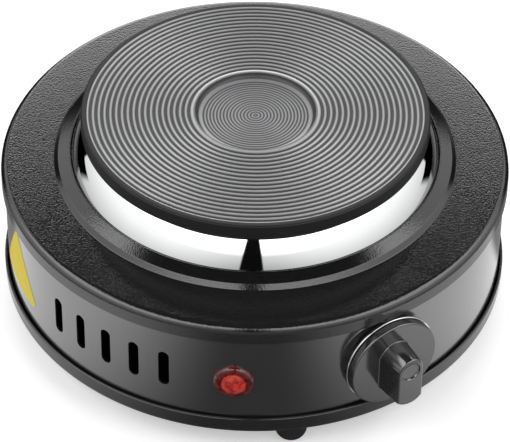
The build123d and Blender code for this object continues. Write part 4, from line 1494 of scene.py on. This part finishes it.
@dataclass
class Knob(SubAssembly):
    """Thermostat knob: skirt disc and oval grip with a round dimple in its face."""

    spot: Spot = KNOB_SPOT
    skirt_back: float = 74.3
    skirt_face: float = 76.5
    radius: float = 13.7
    back_edge: float = 0.2
    face_edge: float = 0.45
    bore_radius: float = 3.05
    bore_depth: float = 6.0
    bore_wall: float = 0.4
    bore_roof: float = 0.3
    bore_edge: float = 0.1
    recess_radius: float = 6.85
    recess_end: float = 75.2
    grip_half_width: float = 4.85
    grip_top: float = 8.0
    grip_foot: float = -8.6
    grip_arch: float = 1.7
    grip_corner: float = 0.7
    grip_stand: float = 8.4
    side_points: int = 9
    side_rings: tuple[float, ...] = (0.25, 0.5, 0.75)
    taper: float = 6.1
    face_rounding: float = 0.6
    face_inset: float = 1.15
    root_rounding: float = 0.35
    root_sink: float = 0.6
    dimple_radius: float = 3.05
    dimple_depth: float = 0.5
    dimple_rise: float = 3.6
    dimple: tuple[Point, ...] = (
        (0.5, 1.0), (0.8, 1.0), (0.87, 0.85), (0.9, 0.5),
        (0.93, 0.1), (0.97, -0.1), (1.01, -0.1), (1.04, 0.0),
    )  # fmt: skip

    def skirt(self) -> bmesh.types.BMesh:
        """The disc with the recess behind it and the spindle's bore.

        Returns:
            Its surface.
        """
        end = self.skirt_face + self.bore_depth
        sleeve = self.bore_radius + self.bore_wall
        corners = [
            (0.0, end),
            (self.bore_radius, end),
            (self.bore_radius, self.recess_end),
            (self.recess_radius, self.recess_end),
            (self.recess_radius, self.skirt_back),
            (self.radius, self.skirt_back, self.back_edge),
            (self.radius, self.skirt_face, self.face_edge),
            (sleeve, self.skirt_face, self.bore_edge),
            (sleeve, end + self.bore_roof),
            (0.0, end + self.bore_roof),
        ]
        return lathe(outline(corners), segments=192)

    def grip_outline(self, height: float, inset: float = 0.0) -> list[Point]:
        """The grip's outline: straight sides, a round upper end and an arched lower end.

        Args:
            height: Distance from the plate's axis, which sets how far the sides have leaned in.
            inset: How far the outline lies inside the grip's sides.

        Returns:
            The points from the right shoulder over the top, down and back.
        """
        lean = (self.skirt_face - height) * math.tan(math.radians(self.taper))
        half = self.grip_half_width + lean - inset
        top, foot = self.grip_top - inset, self.grip_foot + inset
        bulge = (half**2 + self.grip_arch**2) / (2 * self.grip_arch)
        spread = math.degrees(math.asin(half / bulge))
        arch = arc((0, foot + bulge), bulge, 270 - spread, 270 + spread, steps=12)
        lower_left = rounded_corner((-half, 0), arch[0], arch[1], self.grip_corner, steps=4)
        lower_right = rounded_corner(arch[-2], arch[-1], (half, 0), self.grip_corner, steps=4)
        crown = arc((0, top - half), half, 0, 180, steps=24)
        left_side = between(crown[-1], lower_left[0], self.side_points)
        right_side = between(lower_right[-1], crown[0], self.side_points)
        return crown + left_side + lower_left + arch[2:-2] + lower_right + right_side

    def side_path(self, face: float) -> list[Point]:
        """The grip's side, from the face's edge to inside the skirt.

        Args:
            face: Distance of the grip's face from the plate's axis.

        Returns:
            (inset, distance from the plate's axis) down the side.
        """
        path = []
        for x, z in arc((0, 0), self.face_rounding, 90, 0, steps=6):
            path.append((self.face_rounding - x, face - self.face_rounding + z))
        straight = self.grip_stand - self.face_rounding - self.root_rounding
        for share in self.side_rings:
            path.append((0.0, face - (self.face_rounding + share * straight)))
        for x, z in arc((0, 0), self.root_rounding, 180, 270, steps=5):
            path.append((-self.root_rounding - x, self.skirt_face + self.root_rounding + z))
        path.append((-self.root_rounding, self.skirt_face - self.root_sink))
        return path

    def grip(self) -> bmesh.types.BMesh:
        """The grip, from the dimple's middle over the face and down its sides.

        Returns:
            Its surface.
        """
        face = self.skirt_face + self.grip_stand
        rim = self.grip_outline(face, self.face_rounding * self.face_inset)
        turns = [math.atan2(y - self.dimple_rise, x) for x, y in rim]
        loops = [[Vector((0, self.dimple_rise, face - self.dimple_depth))]]
        for share, depth in self.dimple:
            height = face - self.dimple_depth * depth
            loops.append(ring(self.dimple_radius * share, height, turns, self.dimple_rise))
        loops.append([Vector((x, y, face)) for x, y in rim])
        for inset, height in self.side_path(face):
            loops.append([Vector((x, y, height)) for x, y in self.grip_outline(height, inset)])
        return skin(loops)

    def build(self, shop: Workshop) -> None:
        """Joins skirt and grip at the knob's spot.

        Args:
            shop: The workshop that makes the piece.
        """
        mesh = joined([self.skirt(), self.grip()])
        mesh.transform(self.spot.station())
        shop.piece("thermostat_knob", mesh, KNOB_PLASTIC, Body.KNOB, replaces=["knob"], sharp=40)


@dataclass
class PilotLamp(SubAssembly):
    """Red lens with moulded facets inside a rounded clear rim."""

    spot: Spot = LAMP_SPOT
    wall_radius: float = 72.5
    stand: float = 1.5
    rim_radius: float = 5.7
    rim_back: float = 70.5
    rim_bend: float = 1.1
    rim_dip: float = 0.1
    rim_edge: float = 0.3
    rim_clearance: float = 0.03
    dome_radius: float = 3.6
    dome_stand: float = 1.2
    dome_clearance: float = 0.04
    facets: int = 14
    facet_rings: tuple[Point, ...] = ((0.3, 0.0), (0.58, 0.5), (0.82, 0.0), (0.985, 0.5))
    facet_lift: Point = (-0.16, 0.05)
    facets_end: float = 0.9
    seat_depth: float = 0.45
    neck_radius: float = 4.5
    neck_length: float = 7.0
    bore: float = 3.6
    bore_roof: float = 2.7
    bore_tip: float = 0.9
    seed: int = 7

    def rim(self) -> bmesh.types.BMesh:
        """The rim, rounded over and seated on the wall.

        Returns:
            Its surface.
        """
        face = self.wall_radius + self.stand
        hole = self.dome_radius + self.rim_clearance
        corners = [
            (hole, self.rim_back),
            (self.rim_radius, self.rim_back),
            (self.rim_radius, face, self.rim_bend),
            (hole, face - self.rim_dip, self.rim_edge),
        ]
        return seat(lathe(outline(corners), segments=96), self.rim_back, self.wall_radius)

    def lens(self) -> bmesh.types.BMesh:
        """The dome of facets, its skirt and the hollow neck through the wall.

        Returns:
            Its surface.
        """
        chance = random.Random(self.seed)
        face = self.wall_radius + self.stand
        loops = [[Vector((0, 0, face + self.dome_stand))]]
        for share, twist in self.facet_rings:
            height = face + self.dome_stand * (1 - share**2)
            loop = ring(self.dome_radius * share, height, even_turns(self.facets, twist))
            if share < self.facets_end:
                for spot in loop:
                    spot.z = height + chance.uniform(*self.facet_lift)
            loops.append(loop)
        front, back = self.wall_radius - self.seat_depth, self.wall_radius - self.neck_length
        walls = [
            (self.dome_radius - self.dome_clearance, front),
            (self.neck_radius, front),
            (self.neck_radius, back),
            (self.bore, back),
            (self.bore, face - self.bore_roof),
            (0.0, face - self.bore_tip),
        ]
        turns = even_turns(self.facets, 0.5)
        for radius, height in walls:
            loops.append(ring(radius, height, turns if radius else turns[:1]))
        return skin(loops)

    def build(self, shop: Workshop) -> None:
        """Sets rim and lens in the wall.

        Args:
            shop: The workshop that makes the pieces.
        """
        place = self.spot.station()
        rim, lens = self.rim(), self.lens()
        rim.transform(place)
        lens.transform(place)
        shop.piece("pilot_lamp_rim", rim, RED_RIM, replaces=["lamp_rim"], sharp=50)
        shop.piece("faceted_pilot_lens", lens, RED_LENS, replaces=["pilot_lens"], sharp=4)


# ---- feet and rear ------------------------------------------------------------------------------
@dataclass
class Feet(SubAssembly):
    """Four domed rubber feet with a shallow groove under the pan."""

    count: int = 4
    azimuth: float = 9.7
    orbit: float = 66.0
    radius: float = 4.6
    height: float = 8.3
    dome: float = 3.4
    groove: tuple[float, float, float] = (1.6, 1.3, 1.0)
    groove_depth: float = 0.35
    groove_edge: float = 0.25
    groove_bend: float = 0.15
    top_edge: float = 0.3
    stem_radius: float = 2.0
    stem_length: float = 3.8
    stem_edge: float = 0.4

    def section(self) -> list[Corner]:
        """One foot's section.

        Returns:
            Its corners, from the middle of the dome up to the stem.
        """
        lower, middle, upper = (self.height - drop for drop in self.groove)
        stem_top = self.height + self.stem_length
        return [
            (0.0, 0.0),
            (self.radius, 0.0, self.dome),
            (self.radius, lower, self.groove_edge),
            (self.radius - self.groove_depth, middle, self.groove_bend),
            (self.radius, upper, self.groove_edge),
            (self.radius, self.height, self.top_edge),
            (self.stem_radius, self.height),
            (self.stem_radius, stem_top, self.stem_edge),
            (0.0, stem_top),
        ]

    def build(self, shop: Workshop) -> None:
        """Turns one foot and repeats it. The first one stands for the node of all four.

        Args:
            shop: The workshop that makes the pieces.
        """
        path = outline(self.section(), steps=7)
        for number in range(self.count):
            turn = math.radians(self.azimuth + 360 * number / self.count)
            place = Matrix.Translation(around(self.orbit, turn, 0))
            mesh = lathe(path, segments=72, place=place)
            replaced = [] if number else ["feet"]
            shop.piece(f"rubber_foot_{number + 1}", mesh, RUBBER, replaces=replaced, sharp=45)


@dataclass
class CordGland(SubAssembly):
    """Moulded gland: flange outside the rear panel and a bored neck through it."""

    spot: Spot = GLAND_SPOT
    panel_radius: float = 71.65
    seat_back: float = 68.65
    flange_radius: float = 7.0
    flange_face: float = 74.5
    flange_bend: float = 1.1
    neck_radius: float = 5.0
    neck_back: float = 59.5
    neck_edge: float = 0.5
    bore: float = 3.4
    bore_edge: float = 0.3
    bead_width: float = 1.2
    step_width: float = 0.9
    step_depth: float = 0.5
    step_edge: float = 0.2

    def build(self, shop: Workshop) -> None:
        """Turns flange and neck, with the flange's back on the panel.

        Args:
            shop: The workshop that makes the piece.
        """
        step_face = self.flange_face - self.step_depth
        corners = [
            (self.bore, self.neck_back, self.bore_edge),
            (self.neck_radius, self.neck_back, self.neck_edge),
            (self.neck_radius, self.seat_back),
            (self.flange_radius, self.seat_back),
            (self.flange_radius, self.flange_face, self.flange_bend),
            (self.bore + self.bead_width, self.flange_face, self.bore_edge),
            (self.bore + self.step_width, step_face, self.step_edge),
            (self.bore, step_face, self.bore_edge),
        ]
        turned = lathe(outline(corners), segments=96)
        mesh = seat(turned, self.seat_back, self.panel_radius, beyond=self.neck_radius)
        mesh.transform(self.spot.station())
        shop.piece("rear_cord_gland", mesh, GLAND, replaces=["cord_gland"], sharp=40)


# ---- studio -------------------------------------------------------------------------------------
# Directions are in degrees: sides round from the front, rises up from the ground. A pair is the
# start and the end of a soft step.
@dataclass(frozen=True)
class Greys:
    """The greys that the burner mirrors: dimmer towards the front, lighter upwards."""

    level: float = 0.81
    climb: float = 0.0175
    dip: float = 26.0
    dip_width: float = 35.8
    least: float = 0.3
    most: float = 1.16

    def middle(self, recipe: Recipe, turn: Wire) -> Wire:
        """1 straight in front, and less and less towards the sides."""
        return recipe.maths("EXPONENT", turn * turn * (-1 / self.dip_width**2))

    def held(self, recipe: Recipe, grey: Wire) -> Wire:
        """A grey kept from going too dark or too light."""
        return recipe.node("ShaderNodeClamp", None, {0: grey, 1: self.least, 2: self.most})


@dataclass
class StudioSky:
    """The world: white to the camera, even to matt faces, and to glossy ones a room of panels."""

    greys: Greys = Greys()
    fill: float = 0.35
    dark: float = 0.004
    panel: float = 2.4
    panel_foot: Point = (24.0, 36.0)
    panel_top: Point = (63.0, 58.0)
    panel_end: Point = (126.0, 124.0)
    front_drop: float = 6.0
    gap: Point = (6.2, 7.4)
    gap_shift: float = 1.35
    gap_lean: float = 0.016
    gap_taper: float = 0.045
    rear: float = 3.0
    rear_start: Point = (160.0, 168.0)
    rear_top: Point = (38.9, 37.7)
    wing: float = 1.0
    wing_start: Point = (124.0, 128.0)
    wing_end: Point = (160.0, 152.0)
    wing_foot: Point = (14.0, 22.0)
    wing_top: Point = (52.0, 44.0)

    def mirrored(self, recipe: Recipe) -> Wire:
        """What glossy pieces mirror: side panels, a low bright rear and a dark gap in front.

        Args:
            recipe: The world's node tree.

        Returns:
            The strength in each direction.
        """
        way = recipe.node("ShaderNodeTexCoord", output="Generated")
        east, north, up = (recipe.part(way, axis) for axis in Axis)
        rise = recipe.maths("ARCSINE", up) * DEGREES
        turn = recipe.azimuth(east, north)
        side = recipe.maths("ABSOLUTE", turn)
        middle = self.greys.middle(recipe, side)
        graded = self.greys.level + (rise - middle * self.greys.dip) * self.greys.climb
        boost = rise.smooth(*self.panel_foot) * (self.panel - self.greys.most)
        panels = self.greys.held(recipe, graded) + boost
        offset = recipe.maths("ABSOLUTE", turn + self.gap_shift - rise * self.gap_lean)
        beside_gap = (offset + rise * self.gap_taper).smooth(*self.gap)
        below_top = (rise + middle * self.front_drop).smooth(*self.panel_top)
        shown = beside_gap * side.smooth(*self.panel_end) * below_top
        rear = side.smooth(*self.rear_start) * rise.smooth(*self.rear_top)
        behind = side.smooth(*self.wing_start) * side.smooth(*self.wing_end)
        wing = behind * rise.smooth(*self.wing_foot) * rise.smooth(*self.wing_top)
        return panels * shown + rear * self.rear + wing * self.wing + self.dark

    def build(self) -> None:
        """Makes the scene's world."""
        world = bpy.data.worlds.new("studio_sky")
        bpy.context.scene.world = world
        world.use_nodes = True
        recipe = Recipe(world.node_tree)
        plain = recipe.maths("MAXIMUM", recipe.ray(Ray.CAMERA), recipe.ray(Ray.TRANSMISSION))
        matt = recipe.ray(Ray.DIFFUSE)
        lit = self.mirrored(recipe) * (1.0 - matt) + matt * self.fill
        inputs = {"Color": WHITE, "Strength": lit * (1.0 - plain) + plain}
        recipe.end_in(recipe.node("ShaderNodeBackground", None, inputs), "ShaderNodeOutputWorld")
        log.info("studio sky with side panels of strength %.2f", self.panel)


@dataclass
class StudioFloor:
    """A plain pale floor that keeps the burner's shadow; to glossy pieces it shows painted shade
    near the burner. Its distances are in metres.
    """

    greys: Greys = Greys()
    radius: float = 6.0
    paper: Colour = (0.9, 0.9, 0.9, 1.0)
    lift: float = 0.4
    fall: float = 0.052
    fall_start: float = 0.05
    far: Point = (0.118, 0.15)
    far_end: Point = (110.0, 116.0)
    rear_start: Point = (168.0, 160.0)
    shade_strip: Point = (0.012, 0.095)
    beside_strip: float = 0.9
    deepest_shade: float = 0.1
    flank: Point = (93.0, 99.0)
    flank_end: Point = (140.0, 128.0)
    flank_shade: float = 0.75

    def mirrored(self, recipe: Recipe) -> Wire:
        """What glossy pieces mirror: painted shade near the burner, and beyond it the panels' greys.

        Args:
            recipe: The floor's node tree.

        Returns:
            The strength at each place.
        """
        at = recipe.place()
        east, north = recipe.part(at, Axis.X), recipe.part(at, Axis.Y)
        aside = recipe.maths("ABSOLUTE", east)
        turn = recipe.azimuth(aside, north)
        away = recipe.radius(at) * MM
        # painted shade: the mirrored floor grows darker nearer the burner and towards its front
        dimmed = self.greys.middle(recipe, turn) * (self.greys.dip * self.greys.climb)
        graded = self.greys.level - self.fall / (away - self.fall_start) - dimmed
        far = away.smooth(*self.far)
        # far out, left dark from beyond the flanks round to the rear
        beyond = turn.smooth(*self.far_end) * turn.smooth(*self.rear_start)
        # painted shade near the burner: a dark strip straight in front of and behind it, and dimmer
        # on its flanks
        flank = turn.smooth(*self.flank) * turn.smooth(*self.flank_end)
        level = self.beside_strip - flank * self.flank_shade
        near = aside.smooth(*self.shade_strip) * level + self.deepest_shade
        return near * (1.0 - far) + self.greys.held(recipe, graded) * far * (1.0 - beyond)

    def build(self) -> None:
        """Makes the floor and its paper, a little lifted to the camera."""
        mesh = bmesh.new()
        bmesh.ops.create_circle(mesh, cap_ends=True, segments=64, radius=self.radius)
        made = mesh_object("studio_floor", mesh)
        paper = bpy.data.materials.new("white_paper")
        paper.use_nodes = True
        recipe = Recipe(paper.node_tree)
        seen = recipe.ray(Ray.CAMERA) + recipe.ray(Ray.TRANSMISSION)
        diffuse = recipe.node("ShaderNodeBsdfDiffuse", None, {"Color": self.paper})
        glow = recipe.emission(seen * self.lift)
        lit = recipe.node("ShaderNodeAddShader", None, {0: diffuse, 1: glow})
        inputs = {0: recipe.ray(Ray.GLOSSY), 1: lit, 2: recipe.emission(self.mirrored(recipe))}
        recipe.end_in(recipe.node("ShaderNodeMixShader", None, inputs))
        made.data.materials.append(paper)
        log.info("floor of %.0f m radius", self.radius)


@dataclass
class Softbox:
    """A rectangular lamp that faces the burner. Its distance and size are in metres."""

    name: str
    azimuth: float
    elevation: float
    size: Point
    radiance: float = 2.6
    distance: float = 1.3

    def build(self) -> None:
        """Hangs the lamp, which neither the camera nor a glossy face sees."""
        turn, rise = math.radians(self.azimuth), math.radians(self.elevation)
        place = around(self.distance * math.cos(rise), turn, self.distance * math.sin(rise))
        lamp = bpy.data.lights.new(self.name, "AREA")
        lamp.shape = "RECTANGLE"
        lamp.size, lamp.size_y = self.size
        lamp.energy = self.radiance * math.pi * self.size[0] * self.size[1]
        made = placed(self.name, lamp)
        made.location = place
        made.rotation_euler = (-place).to_track_quat("-Z", "Y").to_euler()
        made.visible_camera = False
        made.visible_glossy = False
        log.info("%s of radiance %.2f", self.name, self.radiance)


@dataclass
class Viewpoint:
    """The camera in front of and above the burner. Its places are in metres."""

    location: tuple[float, float, float] = (0.0, -0.660379, 0.611334)
    aim: tuple[float, float, float] = (0.00023, 0.0, 0.022651)
    roll: float = 0.75
    focal_pixels: float = 2999.2
    frame_width: int = 510
    sensor: float = 36.0
    nearest: float = 0.01

    def build(self) -> None:
        """Makes the scene's camera."""
        camera = bpy.data.cameras.new("front_camera")
        camera.sensor_fit = "HORIZONTAL"
        camera.sensor_width = self.sensor
        camera.lens = self.focal_pixels * self.sensor / self.frame_width
        camera.clip_start = self.nearest
        camera.dof.use_dof = False
        made = placed("front_camera", camera)
        made.location = self.location
        look = (Vector(self.aim) - Vector(self.location)).to_track_quat("-Z", "Y").to_matrix()
        rolled = look @ Matrix.Rotation(math.radians(self.roll), 3, "Z")
        made.rotation_euler = rolled.to_euler()
        bpy.context.scene.camera = made
        log.info("camera with a lens of %.1f mm", camera.lens)


def main() -> None:
    """Builds the burner piece by piece, then its studio and camera."""
    logging.basicConfig(level=logging.INFO, format="%(name)s: %(message)s")
    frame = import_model()
    bpy.context.scene.view_settings.view_transform = "Standard"
    shop = Workshop(frame)
    shop.dress_nodes()
    groups: tuple[SubAssembly, ...] = (
        BasePan(), SideWall(), TopCover(), ReflectorCollar(), HeatingPlate(),
        KnobBezel(), Knob(), PilotLamp(), YellowLabel(), Feet(), CordGland(),
    )  # fmt: skip
    for group in groups:
        group.build(shop)
    StudioFloor().build()
    StudioSky().build()
    Softbox("left_softbox", -58.0, 48.0, (0.9, 0.7)).build()
    Softbox("right_softbox", 58.0, 48.0, (0.9, 0.7)).build()
    Softbox("rear_softbox", 180.0, 60.0, (1.2, 0.6)).build()
    Viewpoint().build()


if __name__ == "__main__":
    main()
